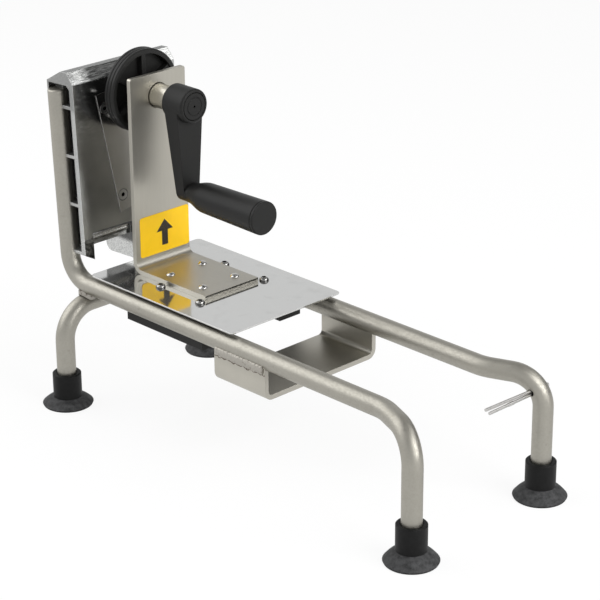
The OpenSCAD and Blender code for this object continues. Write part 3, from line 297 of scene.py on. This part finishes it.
class SlicerWelds(bpy.types.PropertyGroup):
    """Sizes of the weld beads along the channel."""
    ripples: IntProperty(
        name="Ripples", description="Number of ripples along a bead", default=21, min=4, max=40)
    bulge: FloatProperty(
        name="Bulge", description="Half the thickness of a bead",
        default=2.1 * MM, min=0.5 * MM, unit="LENGTH")
    scallop: FloatProperty(
        name="Scallop", description="How much a bead narrows between two ripples",
        subtype="FACTOR", default=0.07, min=0, max=0.5)


class SlicerStage(bpy.types.PropertyGroup):
    """Camera and light of the studio."""
    azimuth: FloatProperty(
        name="Azimuth", description="Camera's turn round the slicer",
        subtype="ANGLE", default=math.radians(46.05))
    elevation: FloatProperty(
        name="Elevation", description="Camera's height above the horizon",
        subtype="ANGLE", default=math.radians(22.54))
    roll: FloatProperty(
        name="Roll", description="Camera's turn round its own axis",
        subtype="ANGLE", default=math.radians(-0.39))
    distance: FloatProperty(
        name="Distance", description="Camera's distance from its target", default=1.7169, unit="LENGTH")
    target: FloatVectorProperty(
        name="Target", description="Point that the camera looks at",
        subtype="TRANSLATION", default=(0.01328, 0.0, 0.1285))
    lens: FloatProperty(
        name="Lens", description="Focal length in millimetres", default=131.66)
    floor: FloatVectorProperty(
        name="Floor", description="Colour of the floor",
        subtype="COLOR", default=(0.9, 0.9, 0.9), min=0, max=1)
    floor_size: FloatProperty(
        name="Floor size", description="Side of the floor", default=16.0, unit="LENGTH")
    floor_glow: FloatProperty(
        name="Floor glow", description="Share of white in the floor that camera and mirrors see",
        subtype="FACTOR", default=0.87, min=0, max=1)


# Operators, one for each piece or group of like pieces

class SLICER_OT_frame_tubes(bpy.types.Operator):
    """Gives the bent tubes their satin steel"""
    bl_idname = "slicer.frame_tubes"
    bl_label = "Frame tubes"

    def execute(self, context):
        steel = context.scene.slicer_steel
        dress(satin_steel("satin_tube", steel.satin, steel.satin_roughness), *TUBES)
        return {"FINISHED"}


class SLICER_OT_cross_channel(bpy.types.Operator):
    """Gives the channel its sheet steel, tinted by heat along the welds, with a dark line of weld burn
    and painted shade under the beads
    """
    bl_idname = "slicer.cross_channel"
    bl_label = "Cross channel"

    def execute(self, context):
        steel = context.scene.slicer_steel
        made = new_finish("channel_sheet")
        cloud = made.noise(22 * MM, 3.0)
        grain = made.noise(0.5 * MM, 2.0, (1, 8, 8))
        weld_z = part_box("channel_welds")[0].z
        wavy = made.axis("Z") + (made.noise(3 * MM, 5.0) - 0.5) * (5.5 * MM)
        heat = made.fade(wavy, weld_z - 9 * MM, weld_z + 1 * MM)
        # A dark line along the foot of the beads on the outer faces: weld burn with painted shade under
        # the beads.
        line_z = weld_z - 0.5 * MM
        line = made.fade(abs(wavy - line_z), 0.6 * MM, 0.25 * MM)
        outside = made.fade(abs(made.facing((0, 1, 0))), 0.7, 0.9)
        tone = made.mix(cloud, shade(steel.satin, 1.15), shade(steel.satin, 1.4))
        tone = made.mix(heat * 0.4, tone, shade(steel.satin, 0.95))
        # Lighter edges: wear with a painted highlight
        tone = made.wear_and_highlight_edges(tone, 0.6 * MM, 0.6, shade(steel.satin, 1.5))
        tone = made.mix(line * outside * 0.9, tone, steel.burn[:] + (1.0,))
        rough = steel.satin_roughness - 0.1 + cloud * 0.1
        normal = made.bump(grain, 0.02 * MM, made.rounded(0.6 * MM))
        dress(made.close(tone, rough, normal, {"Metallic": 1.0}), "cross_channel")
        return {"FINISHED"}


class SLICER_OT_channel_beads(bpy.types.Operator):
    """Models a rippled weld bead in each corner of rail and channel"""
    bl_idname = "slicer.channel_beads"
    bl_label = "Channel weld beads"

    def execute(self, context):
        welds = context.scene.slicer_welds
        finish = weld_finish(context, "channel_weld", 0.4)
        low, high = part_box("channel_welds")
        for side, name in ((-1, "left_channel_bead"), (1, "right_channel_bead")):
            face_y = side * (high.y - welds.bulge)
            bead = rippled_bead(name, low, high, face_y, welds)
            bead.data.materials.append(finish)
            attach(bead, "frame")
            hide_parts("channel_welds")
        return {"FINISHED"}


class SLICER_OT_hoop_welds(bpy.types.Operator):
    """Gives the saddles between hoop and rails their weld metal"""
    bl_idname = "slicer.hoop_welds"
    bl_label = "Hoop welds"

    def execute(self, context):
        dress(weld_finish(context, "hoop_weld", 0.75), "hoop_welds")
        return {"FINISHED"}


def weld_finish(context, name, burnt):
    """Weld metal with a lumpy skin and hollows that are burnt dark by this share."""
    steel = context.scene.slicer_steel
    made = new_finish(name)
    lumps = made.noise(1.6 * MM, 4.0)
    pits = made.fade(made.noise(2.4 * MM, 5.0), 0.56, 0.7)
    tone = made.mix(lumps, shade(steel.weld, 0.8), shade(steel.weld, 1.15))
    tone = made.mix(pits * burnt, tone, steel.burn[:] + (1.0,))
    rough = 0.44 + lumps * 0.2
    normal = made.bump(lumps, 0.25 * MM, made.rounded(0.5 * MM))
    return made.close(tone, rough, normal, {"Metallic": 0.9})


def rippled_bead(name, low, high, face_y, welds):
    """An oval bead along X that swells and narrows, its ends closed."""
    half_h = (high.z - low.z) / 2
    per_ripple = 4
    steps = per_ripple * welds.ripples
    step = (high.x - low.x) / steps
    bpy.ops.object.select_all(action="DESELECT")
    bpy.ops.mesh.primitive_circle_add(
        vertices=20, radius=1.0, fill_type="NGON", rotation=(0, math.pi / 2, 0),
        location=(low.x, face_y, (low.z + high.z) / 2), enter_editmode=True)
    bpy.ops.transform.resize(value=(1, welds.bulge, half_h))
    last = 1.0
    for i in range(steps):
        # The ripples follow each other unevenly, and two waves out of step with them vary their size
        phase = (i + 1) / per_ripple
        uneven = phase + 0.3 * math.sin(1.7 * phase)
        swell = 1 - welds.scallop * (0.5 + 0.5 * math.cos(2 * math.pi * uneven))
        swell *= 1 + 0.07 * math.sin(3.7 * phase) + 0.05 * math.sin(8.3 * phase)
        at_end = i in (0, steps - 1)
        swell *= 0.8 if at_end else 1
        bpy.ops.mesh.extrude_region_move(TRANSFORM_OT_translate={"value": (step, 0, 0)})
        middle = (low.x + (i + 1) * step, face_y, (low.z + high.z) / 2)
        bpy.ops.transform.resize(value=(1, swell / last, swell / last), center_override=middle)
        last = swell
    bpy.ops.mesh.select_all(action="SELECT")
    bpy.ops.mesh.normals_make_consistent(inside=False)
    bpy.ops.object.mode_set(mode="OBJECT")
    bead = bpy.context.object
    bead.name = name
    bpy.ops.object.transform_apply(location=True, rotation=True, scale=True)
    smooth = bead.modifiers.new("smooth", "SUBSURF")
    smooth.levels = 1
    smooth.render_levels = 1
    bpy.ops.object.modifier_apply(modifier=smooth.name)
    bpy.ops.object.shade_smooth()
    return bead


class SLICER_OT_feet(bpy.types.Operator):
    """Gives the suction feet their rubber, dusty and with a painted sheen on the cups"""
    bl_idname = "slicer.feet"
    bl_label = "Suction feet"

    def execute(self, context):
        plastic = context.scene.slicer_plastic
        made = new_finish("foot_rubber")
        cloud = made.noise(4 * MM, 4.0)
        specks = made.noise(0.9 * MM, 5.0)
        cup_top = 12 * MM
        low = made.fade(made.axis("Z"), cup_top, cup_top - 1 * MM)
        # Dust and a painted sheen: the cups' upward faces take the dust colour.
        cup_dust_and_sheen = made.fade(made.facing((0, 0, 1)), 0.2, 0.5) * low
        dust = made.fade(cloud * 0.7 + specks * 0.3, 0.1, 0.85) * (0.06 + 0.9 * cup_dust_and_sheen)
        tone = made.mix(dust, plastic.rubber[:] + (1.0,), plastic.dust[:] + (1.0,))
        rough = 0.5 + dust * 0.2
        normal = made.bump(specks, 0.06 * MM, made.rounded(0.8 * MM))
        dress(made.close(tone, rough, normal, {"Specular IOR Level": 0.16}), *FEET)
        return {"FINISHED"}


class SLICER_OT_stop_pin(bpy.types.Operator):
    """Gives the split pin its bright wire"""
    bl_idname = "slicer.stop_pin"
    bl_label = "Stop pin"

    def execute(self, context):
        bright = context.scene.slicer_steel.bright
        dress(polished_steel("pin_wire", shade(bright, 0.8), 0.3, drawn=(1, 40, 1)), "stop_pin")
        return {"FINISHED"}


class SLICER_OT_head(bpy.types.Operator):
    """Gives the casting its polished face, spangled slopes with a painted dark reflection, speckled raw
    skin, a painted glint along the beam and painted shade inside
    """
    bl_idname = "slicer.head"
    bl_label = "Head casting"

    def execute(self, context):
        cast = context.scene.slicer_steel.cast
        made = new_finish("cast_head")
        low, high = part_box("head_casting")
        middle = (low + high) / 2
        half = (high.y - low.y) / 2
        fin_lit = 121 * MM
        ridge_z = 137 * MM
        beam_top = 140 * MM
        hood_foot = 246 * MM
        leg_width = 13 * MM
        recess_depth = 15 * MM
        soft = 1 * MM
        # Where the parts of the casting lie
        height = made.axis("Z")
        aside = abs(made.axis("Y") - middle.y)
        lean = made.facing((1, 0, 0))
        face = made.fade(lean, 0.96, 0.99)
        slope = made.fade(lean, 0.2, 0.4) * (1 - face)
        side = made.fade(abs(made.facing((0, 1, 0))), 0.6, 0.8)
        below = made.fade(height, beam_top + 2 * soft, beam_top - 2 * soft)
        leg = made.fade(aside, half - leg_width - soft, half - leg_width + soft)
        ridge = made.fade(height, beam_top, ridge_z) * made.fade(height, ridge_z - 7 * MM, ridge_z)
        # Painted glint: a bright strip along the top of the beam's face.
        strip = made.fade(height, ridge_z, ridge_z + soft) * below * (1 - leg) * face
        outer = made.fade(aside, half - 1.2 * MM, half - 0.6 * MM)
        inner = made.fade(aside, half - recess_depth + soft, half - recess_depth - soft)
        recess = side * (1 - outer) * (1 - inner)
        hollow = inner * made.fade(height, fin_lit, fin_lit + 5 * MM)
        hollow = hollow * made.fade(height, hood_foot, hood_foot - 6 * MM)
        rim = side * outer * made.fade(height, hood_foot + 6 * MM, hood_foot)
        # Patterns of the skin
        wave = made.noise(11 * MM, 3.0)
        streak = made.noise(0.7 * MM, 3.0, (1, 12, 1))
        streaks = made.fade(streak, 0.35, 0.65)
        speck = made.fade(made.noise(1.1 * MM, 4.0), 0.3, 0.7)
        smear = made.fade(made.noise(2.6 * MM, 5.0), 0.42, 0.6)
        cloud = made.noise(14 * MM, 4.0)
        ragged = aside + (wave - 0.5) * (14 * MM) + (streak - 0.5) * (5 * MM)
        marks = made.fade(made.noise(2 * MM, 5.0, (1, 3, 1)), 0.42, 0.75) * face
        marks = marks * made.fade(height, hood_foot - 34 * MM, hood_foot + 2 * MM)
        marks = marks * made.fade(aside, 22 * MM, 42 * MM)
        # Tones of the raw skin, the hood's slope and the ground face with its beam and legs
        raw = made.mix(speck, shade(cast, 0.42), shade(cast, 0.62))
        raw = made.mix(below, raw, made.mix(speck, shade(cast, 0.7), shade(cast, 1.1)))
        raw = made.mix(rim, raw, made.mix(speck, shade(cast, 0.7), shade(cast, 0.95)))
        # Painted shade: the raw skin on the webs beside the tubes and inside the hollow above fin_lit is
        # painted almost black.
        raw = made.mix(recess.greater(hollow) * 0.9, raw, shade(cast, 0.08))
        bright = made.mix(streaks, shade(cast, 0.75), shade(cast, 1.5))
        # Painted reflection: the middle of the slope, where it mirrors the disc, is painted dark, with a
        # ragged border.
        painted_dark_reflection = made.mix(made.fade(streak, 0.35, 0.7), shade(cast, 0.06), shade(cast, 0.32))
        bright = made.mix(made.fade(ragged, 45 * MM, 33 * MM), bright, painted_dark_reflection)
        beam = made.mix(streaks, shade(cast, 0.5), shade(cast, 1.1))
        # The strip gets its painted glint.
        beam = made.mix(strip, beam, shade(cast, 1.8))
        smeared = made.mix(smear * 0.35, shade(cast, 0.28), shade(cast, 1.5))
        ground = made.mix(cloud, shade(cast, 0.6), shade(cast, 0.85))
        ground = made.mix(below, ground, made.mix(leg, beam, smeared))
        ground = made.mix(marks * 0.45, ground, shade(cast, 1.4))
        tone = made.mix(slope, raw, bright)
        tone = made.mix(face, tone, ground)
        # Lighter edges: wear with a painted highlight
        tone = made.wear_and_highlight_edges(tone, 0.5 * MM, 0.75, shade(cast, 1.5))
        rough = 0.46 + speck * 0.1 - slope * 0.28 - face * (0.36 - 0.08 * cloud)
        rough = rough - below * side * 0.26 + marks * 0.05 + strip * 0.1
        lumps = speck * (0.12 - 0.12 * face - 0.12 * slope) + slope * (wave * 0.12 + streak * 0.02)
        normal = made.bump(lumps + ridge * face * 1.3, 1 * MM, made.rounded(0.6 * MM))
        dress(made.close(tone, rough, normal, {"Metallic": 1.0}), "head_casting")
        return {"FINISHED"}


class SLICER_OT_blade_set(bpy.types.Operator):
    """Gives blade plate, blade, coring tube and their screws ground steel"""
    bl_idname = "slicer.blade_set"
    bl_label = "Blade set"

    def execute(self, context):
        steel = context.scene.slicer_steel
        dress(sunk_steel("ground_plate", shade(steel.bright, 0.8), 0.2, "blade_plate"), "blade_plate")
        dress(sunk_steel("plate_screw", shade(steel.bright, 0.7), 0.3, "plate_screws"), "plate_screws")
        ground = polished_steel("ground_blade", shade(steel.bright, 0.75), 0.16)
        dress(ground, "slicing_blade", "coring_tube")
        dress(polished_steel("blade_screw", shade(steel.bright, 0.5), 0.26), "blade_screws")
        return {"FINISHED"}


def sunk_steel(name, colour, roughness, node):
    """Ground steel on the leaning head, with a painted highlight on its left-facing sides and painted
    shade, black, underneath and in its holes.
    """
    made = new_finish(name)
    black = (0.004, 0.004, 0.004, 1.0)
    outward = Vector((math.cos(HEAD_LEAN), 0, math.sin(HEAD_LEAN)))
    front = max(outward.dot(corner.co) for corner in nodes[node].data.vertices)
    sockets = {0: made.place(), 1: outward}
    height = made.node("ShaderNodeVectorMath", {"operation": "DOT_PRODUCT"}, sockets, "Value")
    cloud = made.noise(12 * MM, 3.0)
    grain = made.noise(0.3 * MM, 2.0, (1, 1, 30))
    tone = made.mix(cloud, shade(colour, 0.85), shade(colour, 1.1))
    # Painted highlight: sides that face left are lighter.
    tone = made.mix(made.fade(made.facing((0, -1, 0)), 0.6, 0.9), tone, shade(colour, 1.25))
    # Painted shade: undersides, screw holes and their rings are painted black.
    painted_hole_shade = made.fade(height, front - 0.25 * MM, front - 0.45 * MM)
    painted_under_shade = made.fade(made.facing((0, 0, -1)), 0.5, 0.8)
    tone = made.mix(painted_hole_shade.greater(painted_under_shade), tone, black)
    rough = roughness + cloud * 0.06
    normal = made.bump(grain, 0.006 * MM, made.rounded(0.25 * MM))
    return made.close(tone, rough, normal, {"Metallic": 1.0})


class SLICER_OT_carriage_plate(bpy.types.Operator):
    """Gives the carriage plate its mirror polish, with smudges and scratches"""
    bl_idname = "slicer.carriage_plate"
    bl_label = "Carriage plate"

    def execute(self, context):
        steel = context.scene.slicer_steel
        made = new_finish("mirror_plate")
        smudge = made.fade(made.noise(14 * MM, 5.0), 0.52, 0.72)
        scratch = made.noise(0.35 * MM, 1.0, (30, 1, 1))
        tone = made.mix(smudge * 0.5, steel.mirror[:] + (1.0,), shade(steel.mirror, 0.88))
        # Lighter edges: wear with a painted highlight
        tone = made.wear_and_highlight_edges(tone, 0.3 * MM, 0.5, shade(steel.mirror, 1.25))
        rough = steel.mirror_roughness + smudge * 0.08
        normal = made.bump(scratch, 0.002 * MM, made.rounded(0.25 * MM))
        dress(made.close(tone, rough, normal, {"Metallic": 0.95}), "carriage_plate")
        return {"FINISHED"}


class SLICER_OT_guides(bpy.types.Operator):
    """Gives the guide blocks and the hidden bushes their black plastic"""
    bl_idname = "slicer.guides"
    bl_label = "Guides and bushes"

    def execute(self, context):
        black = context.scene.slicer_plastic.black
        plastic = moulded_plastic("guide_plastic", black, 0.46)
        dress(plastic, "left_guide", "right_guide", "front_bush", "rear_bush")
        return {"FINISHED"}


class SLICER_OT_fasteners(bpy.types.Operator):
    """Gives guide screws, rivets and the hidden bolt and spindle bright steel"""
    bl_idname = "slicer.fasteners"
    bl_label = "Screws and rivets"

    def execute(self, context):
        bright = context.scene.slicer_steel.bright
        dress(domed_steel("bright_rivet", shade(bright, 0.85), 0.17), "bracket_rivets")
        dress(domed_steel("dull_screw", shade(bright, 0.55), 0.17), "guide_screws")
        dress(polished_steel("hidden_fastener", shade(bright, 0.85), 0.25), "crank_bolt", "grip_spindle")
        return {"FINISHED"}


def domed_steel(name, colour, roughness):
    """Bright steel for small heads, with a painted dark reflection on their upright sides."""
    made = new_finish(name)
    cloud = made.noise(2 * MM, 3.0)
    scratch = made.noise(0.2 * MM, 2.0)
    tone = made.mix(cloud, shade(colour, 0.85), shade(colour, 1.05))
    # Painted reflection: the sides of the heads, which face away from the sky, are painted dark.
    tone = made.mix(made.fade(made.facing((0, 0, 1)), 0.55, 0.2), tone, shade(colour, 0.3))
    rough = roughness + cloud * 0.08
    normal = made.bump(scratch, 0.004 * MM, made.rounded(0.15 * MM))
    return made.close(tone, rough, normal, {"Metallic": 1.0})


class SLICER_OT_bracket(bpy.types.Operator):
    """Gives the bracket its steel brushed along the bent strip, smoother on the sheared end"""
    bl_idname = "slicer.bracket"
    bl_label = "Bracket"

    def execute(self, context):
        steel = context.scene.slicer_steel
        made = new_finish("brushed_bracket")
        grain = made.noise(0.28 * MM, 2.0, (60, 1, 60))
        streak = made.noise(2.2 * MM, 3.0, (14, 1, 14))
        cloud = made.noise(24 * MM, 3.0)
        tone = made.mix(grain * 0.5 + streak * 0.5, shade(steel.satin, 1.05), shade(steel.satin, 1.3))
        # Lighter edges: wear with a painted highlight
        tone = made.wear_and_highlight_edges(tone, 0.4 * MM, 0.6, shade(steel.satin, 1.5))
        sheared_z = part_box("carriage_bracket")[0].z + 3.8 * MM
        sheared = made.fade(abs(made.axis("Z") - sheared_z), 1.6 * MM, 1.2 * MM)
        cut = sheared * made.fade(made.facing((1, 0, 0)), 0.8, 0.95)
        rough = steel.satin_roughness - 0.14 + cloud * 0.08 + streak * 0.06 - cut * 0.28
        normal = made.bump(grain, 0.03 * MM, made.rounded(0.35 * MM))
        dress(made.close(tone, rough, normal, {"Metallic": 1.0}), "carriage_bracket")
        return {"FINISHED"}


class SLICER_OT_label(bpy.types.Operator):
    """Prints a plain arrow on the yellow label"""
    bl_idname = "slicer.label"
    bl_label = "Label"

    def execute(self, context):
        plastic = context.scene.slicer_plastic
        made = new_finish("label_film")
        low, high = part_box("push_label")
        middle = (low + high) / 2
        aside = abs(made.axis("Y") - middle.y)
        up = made.axis("Z") - middle.z
        soft = 0.15 * MM
        shaft_half = 3.2 * MM
        shaft_reach = 7 * MM
        shaft_drop = 4.5 * MM
        tip_half = 9.9 * MM
        tip_low = 1 * MM
        shaft = made.fade(aside, shaft_half + soft, shaft_half)
        shaft = shaft * made.fade(abs(up + shaft_drop), shaft_reach + soft, shaft_reach)
        tip = made.fade(aside + up * 0.9, tip_half + soft, tip_half)
        tip = tip * made.fade(up, tip_low, tip_low + soft)
        arrow = shaft.greater(tip)
        cloud = made.noise(7 * MM, 3.0)
        fleck = made.fade(made.noise(0.9 * MM, 4.0), 0.3, 0.4)
        film = made.mix(cloud, shade(plastic.label, 0.93), shade(plastic.label, 1.04))
        tone = made.mix(arrow * (0.75 + 0.25 * fleck), film, plastic.ink[:] + (1.0,))
        rough = 0.3 + cloud * 0.12
        normal = made.bump(cloud, 0.12 * MM, made.rounded(0.1 * MM))
        dress(made.close(tone, rough, normal, {"Specular IOR Level": 0.2}), "push_label")
        return {"FINISHED"}


class SLICER_OT_bearing(bpy.types.Operator):
    """Gives sleeve and shaft their turned steel"""
    bl_idname = "slicer.bearing"
    bl_label = "Bearing sleeve and shaft"

    def execute(self, context):
        steel = context.scene.slicer_steel
        made = new_finish("turned_sleeve")
        rings = made.noise(0.25 * MM, 1.0, (1, 60, 60))
        cloud = made.noise(8 * MM, 3.0)
        tone = made.mix(rings * 0.5 + cloud * 0.5, shade(steel.satin, 1.25), shade(steel.satin, 1.6))
        rough = 0.25 + cloud * 0.08
        normal = made.bump(rings, 0.02 * MM, made.rounded(0.4 * MM))
        dress(made.close(tone, rough, normal, {"Metallic": 1.0}), "bearing_sleeve", "drive_shaft")
        return {"FINISHED"}


class SLICER_OT_holding_disc(bpy.types.Operator):
    """Gives the holding disc black plastic and its prongs and spike bright steel"""
    bl_idname = "slicer.holding_disc"
    bl_label = "Holding disc"

    def execute(self, context):
        black = context.scene.slicer_plastic.black
        bright = context.scene.slicer_steel.bright
        dress(moulded_plastic("disc_plastic", shade(black, 1.15), 0.46), "holding_disc")
        dress(polished_steel("prong_steel", bright, 0.14), "disc_prongs", "centre_spike")
        return {"FINISHED"}


class SLICER_OT_crank(bpy.types.Operator):
    """Gives the crank arm and its cap their moulded plastic"""
    bl_idname = "slicer.crank"
    bl_label = "Crank arm"

    def execute(self, context):
        black = context.scene.slicer_plastic.black
        dress(moulded_plastic("crank_plastic", black, 0.5), "crank_arm", "hub_cap")
        return {"FINISHED"}


class SLICER_OT_grip(bpy.types.Operator):
    """Gives the turning grip its smoother plastic"""
    bl_idname = "slicer.grip"
    bl_label = "Grip"

    def execute(self, context):
        black = context.scene.slicer_plastic.black
        dress(moulded_plastic("grip_plastic", black, 0.42), "grip", "grip_plug")
        return {"FINISHED"}


class SLICER_OT_stage(bpy.types.Operator):
    """Sets up floor, studio light and camera"""
    bl_idname = "slicer.stage"
    bl_label = "Studio"

    def execute(self, context):
        stage = context.scene.slicer_stage
        lay_floor(stage)
        hang_lamps()
        light_world(context)
        set_camera(context, stage)
        context.scene.view_settings.view_transform = "Standard"
        return {"FINISHED"}


def seen_directly(made):
    """1 for rays from the camera or from a mirror or glass, 0 for the light that falls on the object."""
    seen = 0.0
    for ray in ("Is Camera Ray", "Is Glossy Ray", "Is Transmission Ray"):
        seen = made.node("ShaderNodeLightPath", {}, {}, ray) + seen
    return seen.lesser(1.0)


def lay_floor(stage):
    """A pale floor that looks white and keeps a soft shadow."""
    bpy.ops.object.select_all(action="DESELECT")
    bpy.ops.mesh.primitive_plane_add(size=stage.floor_size, location=(0, 0, 0))
    floor = bpy.context.object
    floor.name = "floor"
    made = new_finish("pale_floor")
    matt = made.node("ShaderNodeBsdfDiffuse", {}, {"Color": stage.floor[:] + (1.0,)})
    glow = made.node("ShaderNodeEmission", {}, {"Color": (1, 1, 1, 1), "Strength": 1.0})
    share = seen_directly(made) * stage.floor_glow
    surface = made.node("ShaderNodeMixShader", {}, {0: share, 1: matt, 2: glow})
    made.node("ShaderNodeOutputMaterial", {}, {"Surface": surface})
    floor.data.materials.append(made.owner)


def hang_lamps():
    """A large lamp at the left, a weak one at the right for the hood's slope, one at the front right."""
    aim = Vector((0.0, 0.0, 0.13))
    for name, direction, far, side, power in (
            ("key_lamp", (-0.665, -0.389, 0.64), 1.5, 1.5, 13.5),
            ("slope_lamp", (0.46, 0.64, 0.61), 1.8, 0.8, 4.0),
            ("fill_lamp", (0.9, 0.15, 0.45), 1.8, 1.2, 25.0)):
        bpy.ops.object.light_add(type="AREA", location=aim + Vector(direction).normalized() * far)
        lamp = bpy.context.object
        lamp.name = name
        lamp.data.shape = "SQUARE"
        lamp.data.size = side
        lamp.data.energy = power
        lamp.rotation_euler = (lamp.location - aim).to_track_quat("Z", "Y").to_euler()


def light_world(context):
    """An even grey light that mirrors see white at the horizon, dimmer overhead and dark at the right."""
    falling = (0.55, 0.55, 0.55, 1)
    horizon = (0.85, 0.855, 0.86, 1)
    overhead = (0.42, 0.42, 0.42, 1)
    dark_side = (0.06, 0.06, 0.06, 1)
    dark_way = (0.72, 0.69, 0)
    context.scene.world = bpy.data.worlds.new("studio")
    made = Finish(context.scene.world)
    way = made.node("ShaderNodeTexCoord", {}, {}, "Generated")
    up = made.node("ShaderNodeSeparateXYZ", {}, {0: way}, "Z")
    dim = made.fade(up, 0.45, 0.75)
    mirrored = made.mix(dim, horizon, overhead)
    sockets = {0: way, 1: dark_way}
    right = made.node("ShaderNodeVectorMath", {"operation": "DOT_PRODUCT"}, sockets, "Value")
    mirrored = made.mix(made.fade(right, 0.2, 0.75), mirrored, dark_side)
    tone = made.mix(seen_directly(made), falling, mirrored)
    light = made.node("ShaderNodeBackground", {}, {"Color": tone, "Strength": 1.0})
    made.node("ShaderNodeOutputWorld", {}, {"Surface": light})


def set_camera(context, stage):
    """The camera looks at its target from the photograph's angle."""
    turn, lift = stage.azimuth, stage.elevation
    back = Vector((math.sin(turn) * math.cos(lift), -math.cos(turn) * math.cos(lift), math.sin(lift)))
    right = Vector((math.cos(turn), math.sin(turn), 0))
    up = back.cross(right)
    c, s = math.cos(stage.roll), math.sin(stage.roll)
    across = c * right + s * up
    upward = c * up - s * right
    place = Vector(stage.target) + back * stage.distance
    bpy.ops.object.camera_add()
    camera = bpy.context.object
    camera.matrix_world = Matrix((
        (across.x, upward.x, back.x, place.x),
        (across.y, upward.y, back.y, place.y),
        (across.z, upward.z, back.z, place.z),
        (0, 0, 0, 1)))
    camera.data.lens = stage.lens
    camera.data.sensor_width = 36
    camera.data.clip_end = 100
    context.scene.camera = camera


class SLICER_PT_panel(bpy.types.Panel):
    """Lists the slicer's settings and its operators"""
    bl_idname = "SLICER_PT_panel"
    bl_label = "Spiral vegetable slicer"
    bl_space_type = "VIEW_3D"
    bl_region_type = "UI"
    bl_category = "Slicer"

    def draw(self, context):
        for name, group in GROUPS.items():
            box = self.layout.box()
            settings = getattr(context.scene, name)
            for prop in group.__annotations__:
                box.prop(settings, prop)
        for operator in OPERATORS:
            self.layout.operator(operator.bl_idname)


GROUPS = {
    "slicer_steel": SlicerSteel,
    "slicer_plastic": SlicerPlastic,
    "slicer_welds": SlicerWelds,
    "slicer_stage": SlicerStage,
}
OPERATORS = (
    SLICER_OT_frame_tubes,
    SLICER_OT_cross_channel,
    SLICER_OT_channel_beads,
    SLICER_OT_hoop_welds,
    SLICER_OT_feet,
    SLICER_OT_stop_pin,
    SLICER_OT_head,
    SLICER_OT_blade_set,
    SLICER_OT_carriage_plate,
    SLICER_OT_guides,
    SLICER_OT_fasteners,
    SLICER_OT_bracket,
    SLICER_OT_label,
    SLICER_OT_bearing,
    SLICER_OT_holding_disc,
    SLICER_OT_crank,
    SLICER_OT_grip,
    SLICER_OT_stage,
)
CLASSES = (*GROUPS.values(), *OPERATORS, SLICER_PT_panel)


def register():
    for cls in CLASSES:
        bpy.utils.register_class(cls)
    for name, group in GROUPS.items():
        setattr(bpy.types.Scene, name, PointerProperty(type=group))


def unregister():
    for name in GROUPS:
        delattr(bpy.types.Scene, name)
    for cls in reversed(CLASSES):
        bpy.utils.unregister_class(cls)


def main():
    register()
    bpy.ops.slicer.frame_tubes()
    bpy.ops.slicer.cross_channel()
    bpy.ops.slicer.channel_beads()
    bpy.ops.slicer.hoop_welds()
    bpy.ops.slicer.feet()
    bpy.ops.slicer.stop_pin()
    bpy.ops.slicer.head()
    bpy.ops.slicer.blade_set()
    bpy.ops.slicer.carriage_plate()
    bpy.ops.slicer.guides()
    bpy.ops.slicer.fasteners()
    bpy.ops.slicer.bracket()
    bpy.ops.slicer.label()
    bpy.ops.slicer.bearing()
    bpy.ops.slicer.holding_disc()
    bpy.ops.slicer.crank()
    bpy.ops.slicer.grip()
    bpy.ops.slicer.stage()


if __name__ == "__main__":
    main()
